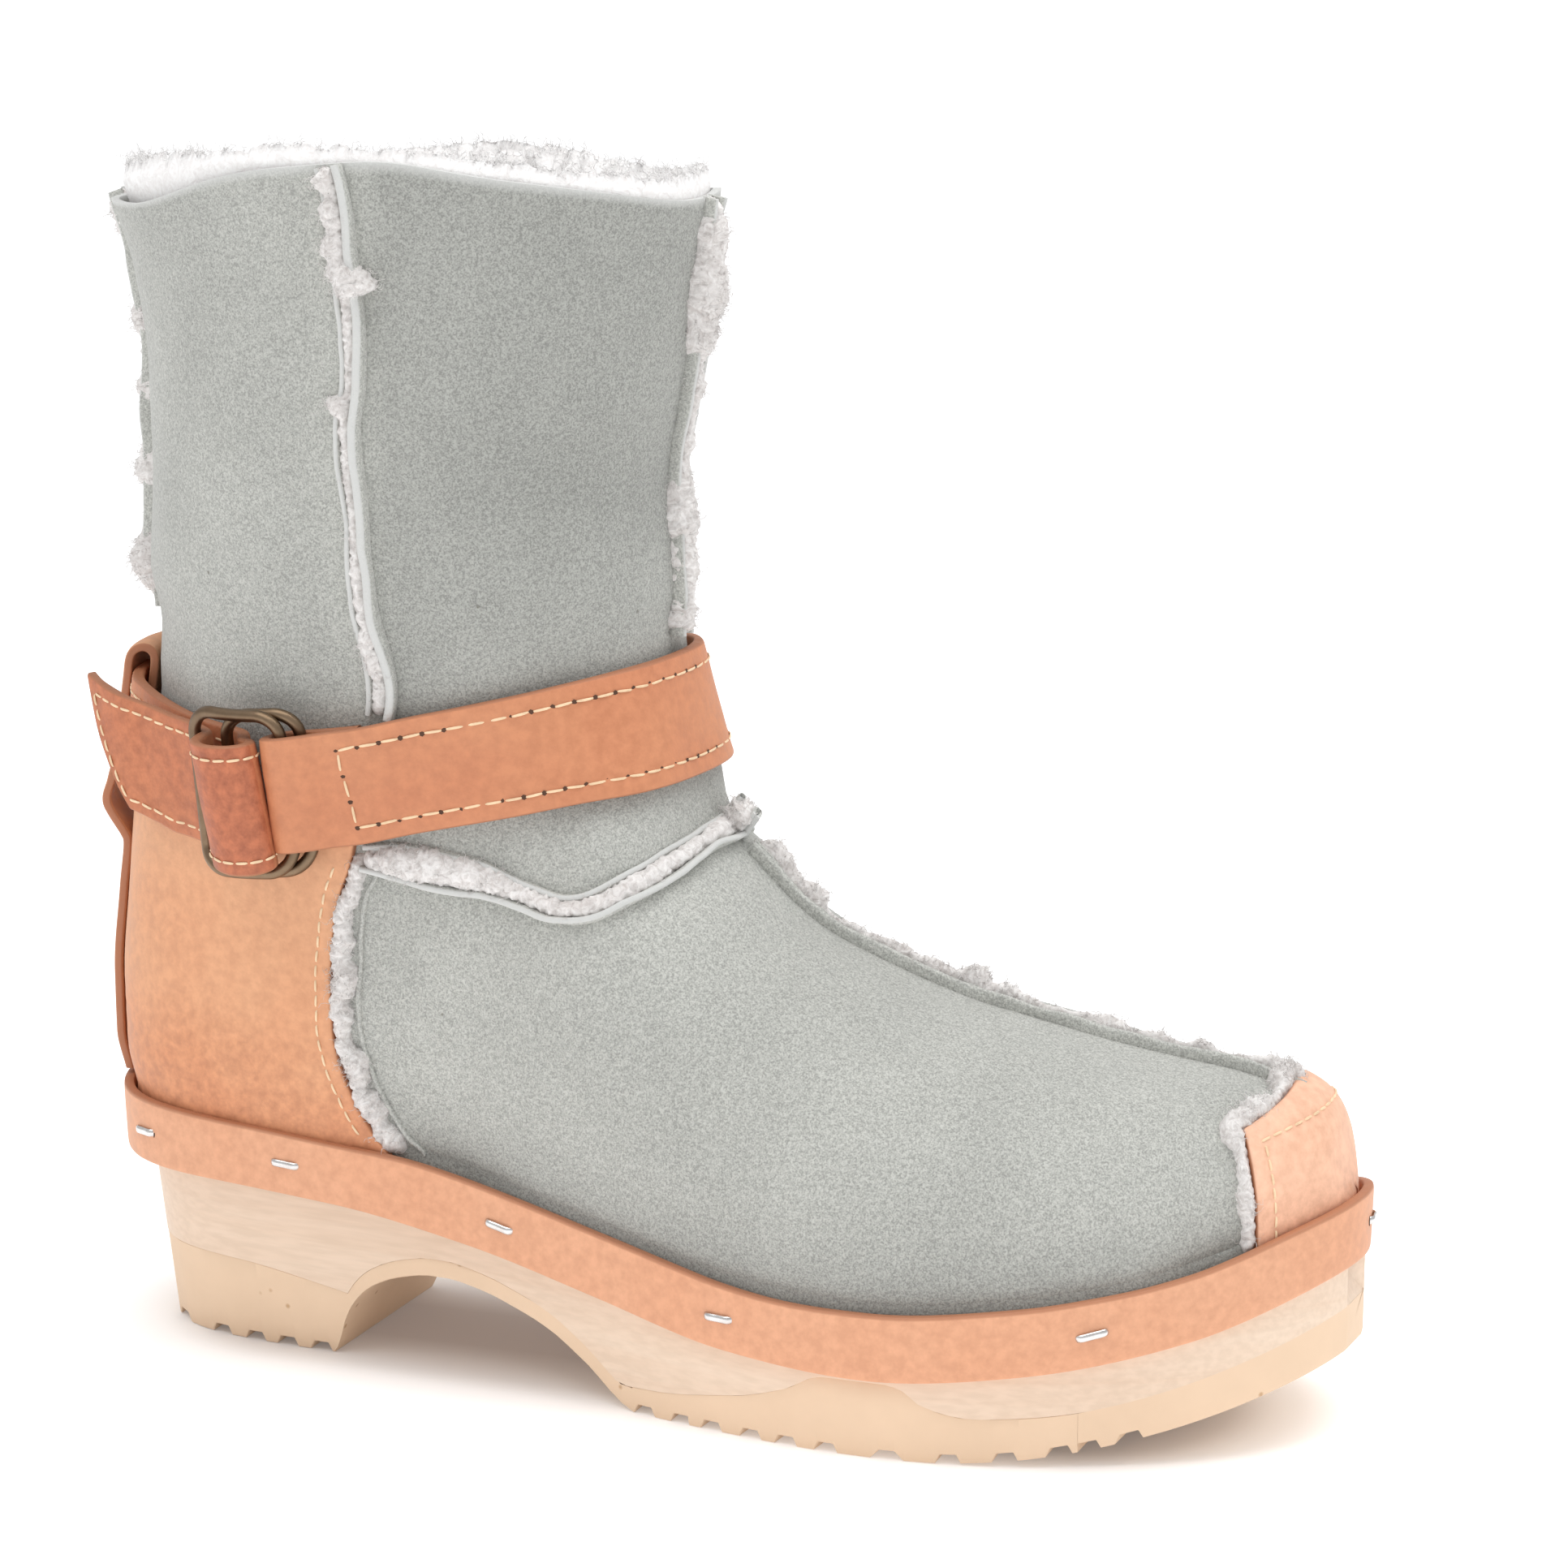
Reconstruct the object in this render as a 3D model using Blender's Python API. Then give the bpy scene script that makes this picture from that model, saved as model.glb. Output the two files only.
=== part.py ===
# A right clog boot: a carved wooden sole on a moulded rubber outsole, a sheepskin upper with raw-edged
# seams, and leather trim held by a welt band. Built heel to toe along +X, lateral side at -Y, floor at z = 0.
import math

import bmesh
import bpy
import numpy as np
from mathutils.bvhtree import BVHTree

for leftover in list(bpy.data.objects):
    bpy.data.objects.remove(leftover)

# Driving sizes, in metres
boot_length = 0.264  # over the welt band, heel to toe
ball_width = 0.0956  # over the welt band
heel_width = 0.0662
boot_height = 0.246  # floor to the highest point of the collar
ankle_height = 0.120  # floor to the bend between vamp and shaft
collar_length = 0.128
collar_width = 0.093
heel_lift = 0.0366  # floor to the lower edge of the welt band, at the heel
ball_lift = 0.0165
toe_lift = 0.0352
toe_spring = 0.0184
fit_gap = 0.0003  # between pieces that touch
centre_drift = 0.05  # how far the centre seam swings to the medial side, per length

band_width = 0.0132
band_thickness = 0.0023
upper_thickness = 0.0024
counter_thickness = 0.0020
tab_thickness = 0.0020
margin_lift = 0.0010  # lower edge of the upper above the lower edge of the band

heel_taper = 0.0125  # how far the foot of the heel stands in from the band
heel_side = 0.0060  # the same just under the band
fore_taper = 0.0034
fore_side = 0.0026
footbed_rise = 0.0092  # edge of the footbed above the lower edge of the band
footbed_dish = 0.0022
footbed_chamfer = 0.0010
rubber_cover = 0.0031  # rubber left over the arch
arch_start = 0.0620
arch_length = 0.0640
arch_rise = 0.0237
groove_width = 0.0034
groove_flare = 0.0008
groove_depth = 0.0018
insole_thickness = 0.0040
insole_clearance = 0.0006

strap_width = 0.0240
strap_thickness = 0.0022
wire_diameter = 0.0025
ring_width = 0.0210
ring_height = 0.0350
ring_corner = 0.0050
backstay_width = 0.0200
backstay_thickness = 0.0018
loop_stand = 0.0065  # the backstay's loop over the upper edge of the strap
seam_width = 0.0034
seam_height = 0.0030
staple_length = 0.0064
staple_width = 0.0015
staple_thickness = 0.0009

upper_columns = 48  # points around each section of the upper
sole_columns = 2 * upper_columns


def table(names, *rows):
    """Rows of numbers as one array for each named column."""
    return dict(zip(names.split(), np.array(rows, float).T))


# Plan outline over the band, clockwise from the heel along the lateral side
plan = table(
    "along heel ball",  # shares of boot_length, of half heel_width and of half ball_width
    (0.000, 0.00, 0.000),
    (0.034, -0.68, 0.000),
    (0.121, -1.00, 0.000),
    (0.341, -0.50, -0.410),
    (0.511, -0.15, -0.802),
    (0.663, 0.00, -1.029),
    (0.803, 0.00, -0.910),
    (0.924, 0.00, -0.554),
    (1.000, 0.00, 0.060),
    (0.951, 0.00, 0.690),
    (0.841, 0.00, 0.905),
    (0.701, 0.00, 0.971),
    (0.417, 0.40, 0.310),
    (0.121, 1.00, 0.000),
    (0.034, 0.68, 0.000),
)
# Lower edge of the welt band, between the three lifts
welt_line = table(
    "along heel toe",
    (0.000, 1.000, 0.000),
    (0.114, 0.990, 0.000),
    (0.227, 0.905, 0.000),
    (0.341, 0.667, 0.000),
    (0.455, 0.353, 0.000),
    (0.568, 0.080, 0.000),
    (0.682, 0.000, 0.000),
    (0.795, 0.000, 0.144),
    (0.909, 0.000, 0.480),
    (1.000, 0.000, 1.000),
)
# Opening under the arch
arch = table(
    "along rise",  # shares of arch_length and arch_rise
    (0.000, 0.00),
    (0.025, 0.44),
    (0.090, 0.70),
    (0.205, 0.90),
    (0.360, 1.00),
    (0.520, 0.99),
    (0.660, 0.88),
    (0.800, 0.69),
    (0.935, 0.34),
    (1.000, 0.00),
)
# Rubber above the tread, and the lip that it raises round the ball
rubber = table(
    "along thick lip",  # shares of boot_length and, twice, of ball_lift
    (0.000, 1.12, 0.00),
    (0.130, 1.06, 0.00),
    (0.215, 0.85, 0.00),
    (0.300, 0.50, 0.00),
    (0.440, 0.30, 0.00),
    (0.500, 0.33, 0.00),
    (0.570, 0.40, 0.09),
    (0.615, 0.42, 0.28),
    (0.645, 0.43, 0.50),
    (0.700, 0.46, 0.47),
    (0.725, 0.48, 0.20),
    (0.765, 0.52, 0.02),
    (0.850, 0.48, 0.00),
    (1.000, 0.54, 0.00),
)
# Outer face of the vamp along its centre seam
crown = table(
    "along rise",  # shares of boot_length and of the rise from band to ankle at the ball
    (0.300, 1.260),
    (0.436, 1.220),
    (0.463, 1.083),
    (0.487, 0.914),
    (0.519, 0.812),
    (0.568, 0.700),
    (0.606, 0.648),
    (0.644, 0.607),
    (0.697, 0.554),
    (0.746, 0.515),
    (0.803, 0.463),
    (0.852, 0.415),
    (0.902, 0.359),
    (0.939, 0.293),
    (0.958, 0.244),
    (0.970, 0.180),
    (0.980, 0.020),
)
# How far the vamp swells past the band
fullness = table(
    "along lateral medial",  # shares of boot_length and, twice, of ball_width
    (0.00, 0.000, 0.000),
    (0.12, 0.012, 0.012),
    (0.40, 0.040, 0.060),
    (0.60, 0.030, 0.035),
    (0.80, 0.005, 0.005),
    (1.00, 0.000, 0.000),
)
# Level sections of heel and shaft
shaft = table(
    "height back front half",  # shares of boot_height, twice of collar_length, and of collar_width
    (0.203, 0.050, 0.780, 0.290),
    (0.240, 0.034, 0.840, 0.310),
    (0.293, 0.033, 0.880, 0.330),
    (0.366, 0.046, 0.920, 0.355),
    (0.435, 0.060, 0.950, 0.385),
    (0.488, 0.072, 0.952, 0.412),
    (0.549, 0.092, 0.932, 0.435),
    (0.598, 0.098, 0.928, 0.447),
    (0.650, 0.077, 0.948, 0.463),
    (0.732, 0.079, 0.942, 0.478),
    (0.813, 0.078, 0.966, 0.488),
    (0.898, 0.056, 0.986, 0.496),
    (1.000, -0.008, 1.015, 0.505),
)
# Sections of the upper from band to ankle: height at the heel, place at the toe, and how far each follows the band
foot_sections = table(
    "heel front follow",  # shares of the heel's rise, of boot_length and of the band's own dip
    (0.07, 0.9785, 1.00),
    (0.16, 0.9720, 0.92),
    (0.25, 0.9580, 0.78),
    (0.34, 0.9250, 0.58),
    (0.43, 0.8680, 0.36),
    (0.52, 0.7950, 0.16),
    (0.61, 0.7180, 0.04),
    (0.70, 0.6400, 0.00),
    (0.79, 0.5750, 0.00),
    (0.89, 0.5260, 0.00),
    (1.00, 0.4930, 0.00),
)
shaft_levels = (0.11, 0.24, 0.40, 0.60, 0.80, 1.00)  # shares of the rise from ankle to collar
# Middle of the ankle strap
strap_line = table(
    "along height",  # shares of boot_length and ankle_height
    (0.000, 1.050),
    (0.080, 1.018),
    (0.170, 1.004),
    (0.260, 1.028),
    (0.314, 1.054),
    (0.379, 1.085),
    (0.447, 1.120),
    (0.500, 1.133),
)


def smooth(rows, name, at):
    """A column of a table at any place along it, by cubic pieces that never overshoot."""
    x = rows[next(iter(rows))]
    y = rows[name]
    step = np.diff(x)
    rise = np.diff(y) / step
    slope = np.zeros(len(x))
    same_way = rise[1:] * rise[:-1] > 0
    slope[1:-1][same_way] = 2 * (rise[1:] * rise[:-1])[same_way] / (rise[1:] + rise[:-1])[same_way]
    slope[0], slope[-1] = rise[0], rise[-1]
    at = np.clip(at, x[0], x[-1])
    i = np.clip(np.searchsorted(x, at, side="right") - 1, 0, len(step) - 1)
    t = (at - x[i]) / step[i]
    return (
        y[i] * (1 + 2 * t) * (1 - t) ** 2
        + y[i + 1] * t**2 * (3 - 2 * t)
        + step[i] * t * (1 - t) * (slope[i] * (1 - t) - slope[i + 1] * t)
    )


def ease(value, low, high):
    """0 at low, 1 at high, and level at both ends."""
    t = np.clip((value - low) / (high - low), 0, 1)
    return t * t * (3 - 2 * t)


def smooth_loop(points, count):
    """Points on the closed cubic spline through the given ones."""
    p = np.asarray(points, float)
    n = len(p)
    h = np.linalg.norm(np.roll(p, -1, 0) - p, axis=1) ** 0.6
    weights = np.zeros((n, n))
    bends = np.zeros(p.shape)
    for i in range(n):
        before, after = (i - 1) % n, (i + 1) % n
        weights[i, before] += h[before]
        weights[i, i] += 2 * (h[before] + h[i])
        weights[i, after] += h[i]
        bends[i] = 6 * ((p[after] - p[i]) / h[i] - (p[i] - p[before]) / h[before])
    m = np.linalg.solve(weights, bends)
    at = np.linspace(0, n, count, endpoint=False)
    i = at.astype(int)
    j = (i + 1) % n
    t = (at - i)[:, None]
    size = h[i][:, None]
    return (
        p[i] * (1 - t)
        + p[j] * t
        + size**2 / 6 * (((1 - t) ** 3 - (1 - t)) * m[i] + (t**3 - t) * m[j])
    )


def smooth_path(points, step, bend=math.radians(24)):
    """Points on a rounded open path through the given ones, closer together where it bends."""
    p = np.asarray(points, float)
    p = np.vstack([2 * p[0] - p[1], p, 2 * p[-1] - p[-2]])
    pieces = []
    for a, b, c, d in zip(p, p[1:], p[2:], p[3:]):
        k = np.sqrt([np.linalg.norm(b - a), np.linalg.norm(c - b), np.linalg.norm(d - c)])
        first = ((b - a) / k[0] - (c - a) / (k[0] + k[1]) + (c - b) / k[1]) * k[1]
        last = ((c - b) / k[1] - (d - b) / (k[1] + k[2]) + (d - c) / k[2]) * k[1]
        t = np.linspace(0, 1, 12, endpoint=False)[:, None]
        pieces.append(
            b * (2 * t**3 - 3 * t**2 + 1)
            + c * (3 * t**2 - 2 * t**3)
            + first * (t**3 - 2 * t**2 + t)
            + last * (t**3 - t**2)
        )
    fine = np.vstack(pieces + [p[-2:-1]])
    run = np.diff(fine, axis=0)
    length = np.linalg.norm(run, axis=1)
    heading = np.unwrap(np.arctan2(run[:, 1], run[:, 0]))
    turned = np.abs(np.diff(heading, prepend=heading[0])) / bend
    cost = np.r_[0, np.cumsum(length / step + turned)]
    at = np.linspace(0, cost[-1], max(2, round(cost[-1]) + 1))
    return np.stack([np.interp(at, cost, column) for column in fine.T], axis=1)


def beside(path, distance):
    """A flat open path moved to its left by a distance, keeping its corners parallel."""
    run = np.diff(path, axis=0)
    run /= np.linalg.norm(run, axis=1)[:, None]
    mean = np.vstack([run[:1], run[1:] + run[:-1], run[-1:]])
    mean /= np.linalg.norm(mean, axis=1)[:, None]
    square = (mean * np.vstack([run, run[-1:]])).sum(axis=1)
    return path + np.stack([-mean[:, 1], mean[:, 0]], axis=1) * (distance / square)[:, None]


def welt_bottom(x):
    along = x / boot_length
    return (
        ball_lift
        + (heel_lift - ball_lift) * smooth(welt_line, "heel", along)
        + (toe_lift - ball_lift) * smooth(welt_line, "toe", along)
    )


def welt_top(x):
    return welt_bottom(x) + band_width


def underside(x):
    """The tread without arch or grooves: flat, then springing up to the toe."""
    start = 0.711 * boot_length
    return toe_spring * (np.clip(x - start, 0, None) / (boot_length - start)) ** 2


def centre_line(x):
    return centre_drift * np.clip(x - 0.36 * boot_length, 0, None)


outline = smooth_loop(
    np.stack(
        [
            plan["along"] * boot_length,
            plan["heel"] * heel_width / 2 + plan["ball"] * ball_width / 2,
        ],
        axis=1,
    ),
    900,
)
outline_run = np.roll(outline, -1, 0) - np.roll(outline, 1, 0)
outline_out = np.stack([-outline_run[:, 1], outline_run[:, 0]], axis=1)
outline_out /= -np.linalg.norm(outline_out, axis=1)[:, None]
outline_middle = boot_length / 2
outline_angle = np.arctan2(
    (outline[:, 1] - centre_line(outline[:, 0])) / (ball_width / 2),
    (outline[:, 0] - outline_middle) / outline_middle,
)
by_angle = np.argsort(outline_angle)


def around(columns):
    """Plan outline and its outward normals at even angles, 0 at the toe, then by the medial side."""
    angles = np.arange(columns) * 2 * math.pi / columns
    known = outline_angle[by_angle]
    known = np.r_[known - 2 * math.pi, known, known + 2 * math.pi]
    line, out = (
        np.stack([np.interp(angles, known, np.tile(values[by_angle, i], 3)) for i in (0, 1)], axis=1)
        for values in (outline, outline_out)
    )
    return line, out / np.linalg.norm(out, axis=1)[:, None]


upper_edge_line = around(upper_columns)
sole_edge_line = around(sole_columns)


def edge_ring(inset, height, line=upper_edge_line):
    """The plan outline, moved in and up by functions of the place along the boot."""
    edge, edge_out = line
    plan_xy = edge - edge_out * inset(edge[:, 0])[:, None]
    return np.column_stack([plan_xy, height(edge[:, 0])])


def sole_ring(inset, height):
    return edge_ring(inset, height, sole_edge_line)


def matched_ring(inset, height):
    """A ring of the sole that runs parallel to the faces of band and upper."""
    ring = edge_ring(inset, height)
    return halved(ring)


def halved(ring):
    """A closed line of points with one more halfway between each two."""
    return np.stack([ring, (ring + np.roll(ring, -1, 0)) / 2], axis=1).reshape(-1, *ring.shape[1:])


upper_x, sole_x = upper_edge_line[0][:, 0], sole_edge_line[0][:, 0]


def lay(x):
    """From the outside of the band in to the upper, with leather tucked between them at heel and toe."""
    tucked = 1 - ease(x, 0.320 * boot_length, 0.41 * boot_length)
    tucked = tucked + ease(x, 0.875 * boot_length, 0.935 * boot_length)
    return band_thickness + fit_gap + (counter_thickness + fit_gap) * tucked


def side_inset(x, z):
    """How far the side of the sole stands in from the band."""
    fore = ease(x, 0.23 * boot_length, 0.53 * boot_length)
    down = np.clip(1 - z / welt_bottom(x), 0, 1)
    heel = heel_side + (heel_taper - heel_side) * down
    ball = fore_side + (fore_taper - fore_side) * down
    return heel * (1 - fore) + ball * fore


def arch_line(x):
    return arch_rise * smooth(arch, "rise", (x - arch_start) / arch_length)


def rubber_top(x, lip=1.0):
    thick = ball_lift * (smooth(rubber, "thick", x / boot_length) + lip * smooth(rubber, "lip", x / boot_length))
    return np.maximum(underside(x) + thick, arch_line(x) + rubber_cover)


half_outline = outline - outline_out * lay(outline[:, 0])[:, None]
toe_at, heel_at = np.argmax(half_outline[:, 0]), np.argmin(half_outline[:, 0])
lateral_side = np.roll(half_outline, -heel_at, 0)[: (toe_at - heel_at) % 900 + 1]
medial_side = np.roll(half_outline, -toe_at, 0)[: (heel_at - toe_at) % 900 + 1][::-1]


def crown_height(x):
    rise = ankle_height - ball_lift - band_width
    return welt_top(x) + rise * smooth(crown, "rise", x / boot_length)


def foot_measure(x, y, z):
    """Below zero inside the foot of the upper: a dome over the plan outline, as high as its crown."""
    base = welt_top(x)
    high = np.maximum(crown_height(x) - base, 1e-5)
    up = np.clip((z - base) / high, 0, None)
    lean = (smooth(shaft, "back", z / boot_height) - shaft["back"][0]) * collar_length
    along = x - lean * (1 - ease(x, 0.05 * boot_length, 0.40 * boot_length))
    swell = 4 * np.clip(up, 0, 1) * (1 - np.clip(up, 0, 1)) * ball_width
    left = np.interp(along, lateral_side[:, 0], lateral_side[:, 1])
    right = np.interp(along, medial_side[:, 0], medial_side[:, 1])
    inside = (along > lateral_side[0, 0]) & (along < lateral_side[-1, 0])
    off = y - centre_line(x)
    lateral = centre_line(x) - left + swell * smooth(fullness, "lateral", x / boot_length)
    medial = right - centre_line(x) + swell * smooth(fullness, "medial", x / boot_length)
    half = np.where(inside, np.where(off < 0, lateral, medial), 1e-5)
    half = np.maximum(half, 1e-5)
    beyond = np.maximum(lateral_side[0, 0] - along, along - lateral_side[-1, 0])
    measure = ((np.abs(off) / half) ** 2.4 + up**2.4) ** (1 / 2.4) * half - half
    return np.where(inside, measure, np.maximum(beyond, 0) + np.abs(off) + 1e-5)


def shaft_measure(x, y, z):
    """Below zero inside the shaft: an oval at each height."""
    level = z / boot_height
    back = smooth(shaft, "back", level) * collar_length
    front = smooth(shaft, "front", level) * collar_length
    half = smooth(shaft, "half", level) * collar_width
    across = ((x - (back + front) / 2) / ((front - back) / 2)) ** 2 + (y / half) ** 2
    return (np.sqrt(across) - 1) * half


def skin_measure(x, y, z):
    """Below zero inside the upper's outer face: foot and shaft run softly into each other."""
    foot, leg = foot_measure(x, y, z), shaft_measure(x, y, z)
    blend = 0.008
    share = np.clip(0.5 + 0.5 * (leg - foot) / blend, 0, 1)
    return leg * (1 - share) + foot * share - blend * share * (1 - share)


def cast(start_x, reach_x, reach_y, height, drift=True):
    """Points where level rays from the middle leave the upper, height being a function of x."""
    low, high = np.zeros(len(reach_x)), np.full(len(reach_x), 2.0)
    for _ in range(40):
        t = (low + high) / 2
        x = start_x + reach_x * t
        y = reach_y * t + (centre_line(x) if drift else 0)
        within = skin_measure(x, y, height(x)) < 0
        low, high = np.where(within, t, low), np.where(within, high, t)
    return np.column_stack([x, y, height(x)])


angles = np.arange(upper_columns) * 2 * math.pi / upper_columns


def skin_rings():
    """Sections of the upper's outer face, from its lower edge to the collar."""
    rings = [
        edge_ring(lay, lambda x: welt_bottom(x) + margin_lift),
        edge_ring(lay, welt_top),
    ]
    heel_base = heel_lift + band_width
    for heel, front, follow in zip(*foot_sections.values()):
        front_x = front * boot_length
        heel_z = heel_base + heel * (ankle_height - heel_base)
        front_z = crown_height(front_x)

        def height(x, heel_z=heel_z, front_z=front_z, front_x=front_x, follow=follow):
            share = np.clip(x / front_x, 0, 1)
            chord = heel_base + (welt_top(front_x) - heel_base) * share
            return heel_z + (front_z - heel_z) * share + follow * (welt_top(front_x * share) - chord)

        half = front_x / 2
        rings.append(cast(half, half * np.cos(angles), ball_width / 2 * np.sin(angles), height))
    for level in shaft_levels:
        middle = ankle_height + level * (boot_height - ankle_height)
        dip = level**3 * 0.0095

        def height(x, middle=middle, dip=dip):
            share = (x / collar_length - 0.52) / 0.52
            return middle - dip * share**2 - dip * 0.25 * np.clip(-share, 0, 1)

        half = collar_length / 2
        rings.append(cast(half, half * np.cos(angles), collar_width / 2 * np.sin(angles), height))
    return np.array(rings)


skin = skin_rings()


def outward(grid):
    """Unit normals of a grid that is closed round its sections."""
    around = np.roll(grid, -1, 1) - np.roll(grid, 1, 1)
    along = np.gradient(grid, axis=0)
    normal = np.cross(around, along)
    normal[:2] = np.column_stack([upper_edge_line[1], np.zeros(upper_columns)])
    return normal / np.linalg.norm(normal, axis=2)[:, :, None]


skin_out = outward(skin)


def skin_at(depth):
    """The upper's outer face moved out by a depth, or in by a negative one."""
    moved = skin + skin_out * depth
    moved[:, :, 2] = np.where(np.arange(len(skin))[:, None] < 2, skin[:, :, 2], moved[:, :, 2])
    moved[-1, :, 2] = skin[-1, :, 2]
    return moved


root = bpy.data.objects.new("clog_boot", None)
bpy.context.scene.collection.objects.link(root)


def material(name, colour, roughness, metallic=0.0):
    made = bpy.data.materials.new(name)
    made.use_nodes = True
    shader = made.node_tree.nodes["Principled BSDF"]
    shader.inputs["Base Color"].default_value = (*colour, 1)
    shader.inputs["Roughness"].default_value = roughness
    shader.inputs["Metallic"].default_value = metallic
    return made


wood = material("pale_wood", (0.78, 0.62, 0.44), 0.5)
rubber_beige = material("beige_rubber", (0.74, 0.55, 0.34), 0.6)
suede = material("sage_suede", (0.42, 0.47, 0.45), 0.95)
fleece = material("fleece", (0.80, 0.78, 0.76), 1.0)
tan_leather = material("tan_leather", (0.78, 0.40, 0.22), 0.5)
brass = material("old_brass", (0.30, 0.24, 0.16), 0.4, 1.0)
steel = material("steel", (0.60, 0.60, 0.58), 0.35, 1.0)


def add_mesh(name, points, faces, finish):
    """A closed mesh as an object of the boot, its faces turned outwards."""
    mesh = bpy.data.meshes.new(name)
    made = bmesh.new()
    corners = [made.verts.new(p) for p in points]
    for face in faces:
        made.faces.new([corners[i] for i in face])
    bmesh.ops.recalc_face_normals(made, faces=made.faces)
    if made.calc_volume(signed=True) < 0:
        bmesh.ops.reverse_faces(made, faces=made.faces)
    made.to_mesh(mesh)
    made.free()
    mesh.shade_smooth()
    mesh.set_sharp_from_angle(angle=math.radians(40))
    mesh.materials.append(finish)
    piece = bpy.data.objects.new(name, mesh)
    bpy.context.scene.collection.objects.link(piece)
    piece.parent = root
    return piece


def sheet_faces(rows, across, start=0, closed=False):
    """Triangles of a grid of points, all split the same way, joined round its sections if closed."""
    last = across if closed else across - 1
    faces = []
    for r in range(rows - 1):
        for c in range(last):
            a, b = start + r * across + c, start + r * across + (c + 1) % across
            faces += [(a, b, b + across), (a, b + across, a + across)]
    return faces


def thick_patch(name, inner, outer, finish):
    """A closed plate between two grids of the same size."""
    rows, across = inner.shape[:2]
    points = np.vstack([inner.reshape(-1, 3), outer.reshape(-1, 3)])
    far = rows * across
    faces = sheet_faces(rows, across) + sheet_faces(rows, across, far)
    rim = (
        [c for c in range(across)]
        + [r * across + across - 1 for r in range(1, rows)]
        + [(rows - 1) * across + c for c in range(across - 2, -1, -1)]
        + [r * across for r in range(rows - 2, 0, -1)]
    )
    faces += [(a, b, b + far, a + far) for a, b in zip(rim, rim[1:] + rim[:1])]
    return add_mesh(name, points, faces, finish)


def thick_tube(name, inner, outer, finish):
    """A closed wall between two grids that go right round, open inside from end to end."""
    rows, columns = inner.shape[:2]
    points = np.vstack([inner.reshape(-1, 3), outer.reshape(-1, 3)])
    far = rows * columns
    faces = sheet_faces(rows, columns, 0, True) + sheet_faces(rows, columns, far, True)
    for row in (0, rows - 1):
        at = [row * columns + c for c in range(columns)]
        faces += [(a, b, b + far, a + far) for a, b in zip(at, at[1:] + at[:1])]
    return add_mesh(name, points, faces, finish)


across_shares = (0.10, 0.50, 0.90)


def cap(ring, line_x, height, points, faces, start):
    """Closes a ring with strips from side to side, whose heights are a function of the outline's x and the share."""
    columns = len(ring)
    half = columns // 2
    rows = []
    for i in range(1, half):
        a, b = ring[i], ring[columns - i]
        row = [start + i]
        for share in across_shares:
            xy = a[:2] + (b[:2] - a[:2]) * share
            x = line_x[i] + (line_x[columns - i] - line_x[i]) * share
            points.append((*xy, float(height(x, share))))
            row.append(len(points) - 1)
        rows.append(row + [start + columns - i])
    for row, after in zip(rows, rows[1:]):
        for c in range(len(row) - 1):
            faces += [(row[c], row[c + 1], after[c + 1]), (row[c], after[c + 1], after[c])]
    for tip, row in ((start, rows[0]), (start + half, rows[-1])):
        faces += [(tip, row[c], row[c + 1]) for c in range(len(row) - 1)]


def stacked(name, rings, bottom, top, finish):
    """A solid from rings one above the other, closed below and above: each end is the outline's x and heights."""
    columns = len(rings[0])
    points = [tuple(p) for ring in rings for p in ring]
    faces = sheet_faces(len(rings), columns, 0, True)
    cap(rings[0], *bottom, points, faces, 0)
    cap(rings[-1], *top, points, faces, (len(rings) - 1) * columns)
    return add_mesh(name, points, faces, finish)


def box_points(size, middle, turn=0.0):
    """Corners of a box, turned about the vertical."""
    c, s = math.cos(turn), math.sin(turn)
    made = []
    for dz in (-1, 1):
        for dx, dy in ((-1, -1), (1, -1), (1, 1), (-1, 1)):
            x, y = dx * size[0] / 2, dy * size[1] / 2
            made.append((middle[0] + c * x - s * y, middle[1] + s * x + c * y, middle[2] + dz * size[2] / 2))
    return made


def prism(name, outline_points, low, high, axis):
    """A hidden cutter: a flat outline carried along an axis, 'y' or 'z'."""
    n = len(outline_points)
    if axis == "y":
        points = [(a, level, b) for level in (low, high) for a, b in outline_points]
    else:
        points = [(a, b, level) for level in (low, high) for a, b in outline_points]
    faces = [tuple(range(n)), tuple(range(n, 2 * n))]
    faces += [(i, (i + 1) % n, n + (i + 1) % n, n + i) for i in range(n)]
    return hide_cutter(add_mesh(name, points, faces, wood))


def hide_cutter(cutter):
    cutter.hide_render = True
    cutter.display_type = "WIRE"
    return cutter


def boolean(piece, cutter, operation):
    cut = piece.modifiers.new(cutter.name, "BOOLEAN")
    cut.operation = operation
    cut.object = cutter
    cut.solver = "EXACT"


def ribbon(line, width):
    """The outline of a strip of steady width along a flat line."""
    line = np.asarray(line, float)
    run = np.gradient(line, axis=0)
    side = np.stack([-run[:, 1], run[:, 0]], axis=1)
    side *= width / 2 / np.linalg.norm(side, axis=1)[:, None]
    return [tuple(p) for p in np.vstack([line + side, (line - side)[::-1]])]


reach = boot_height  # cutters run at least this far past the boot

# Sole
half_gap = fit_gap / 2
ledge = margin_lift - fit_gap


def footbed(x):
    return welt_bottom(x) + footbed_rise


def rebate(x):
    return lay(x) + upper_thickness + fit_gap


def dish(x, share):
    return footbed_dish * 4 * share * (1 - share)


def lip_share(share):
    return np.clip(1 - 10 * min(share, 1 - share), 0, 1)


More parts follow.
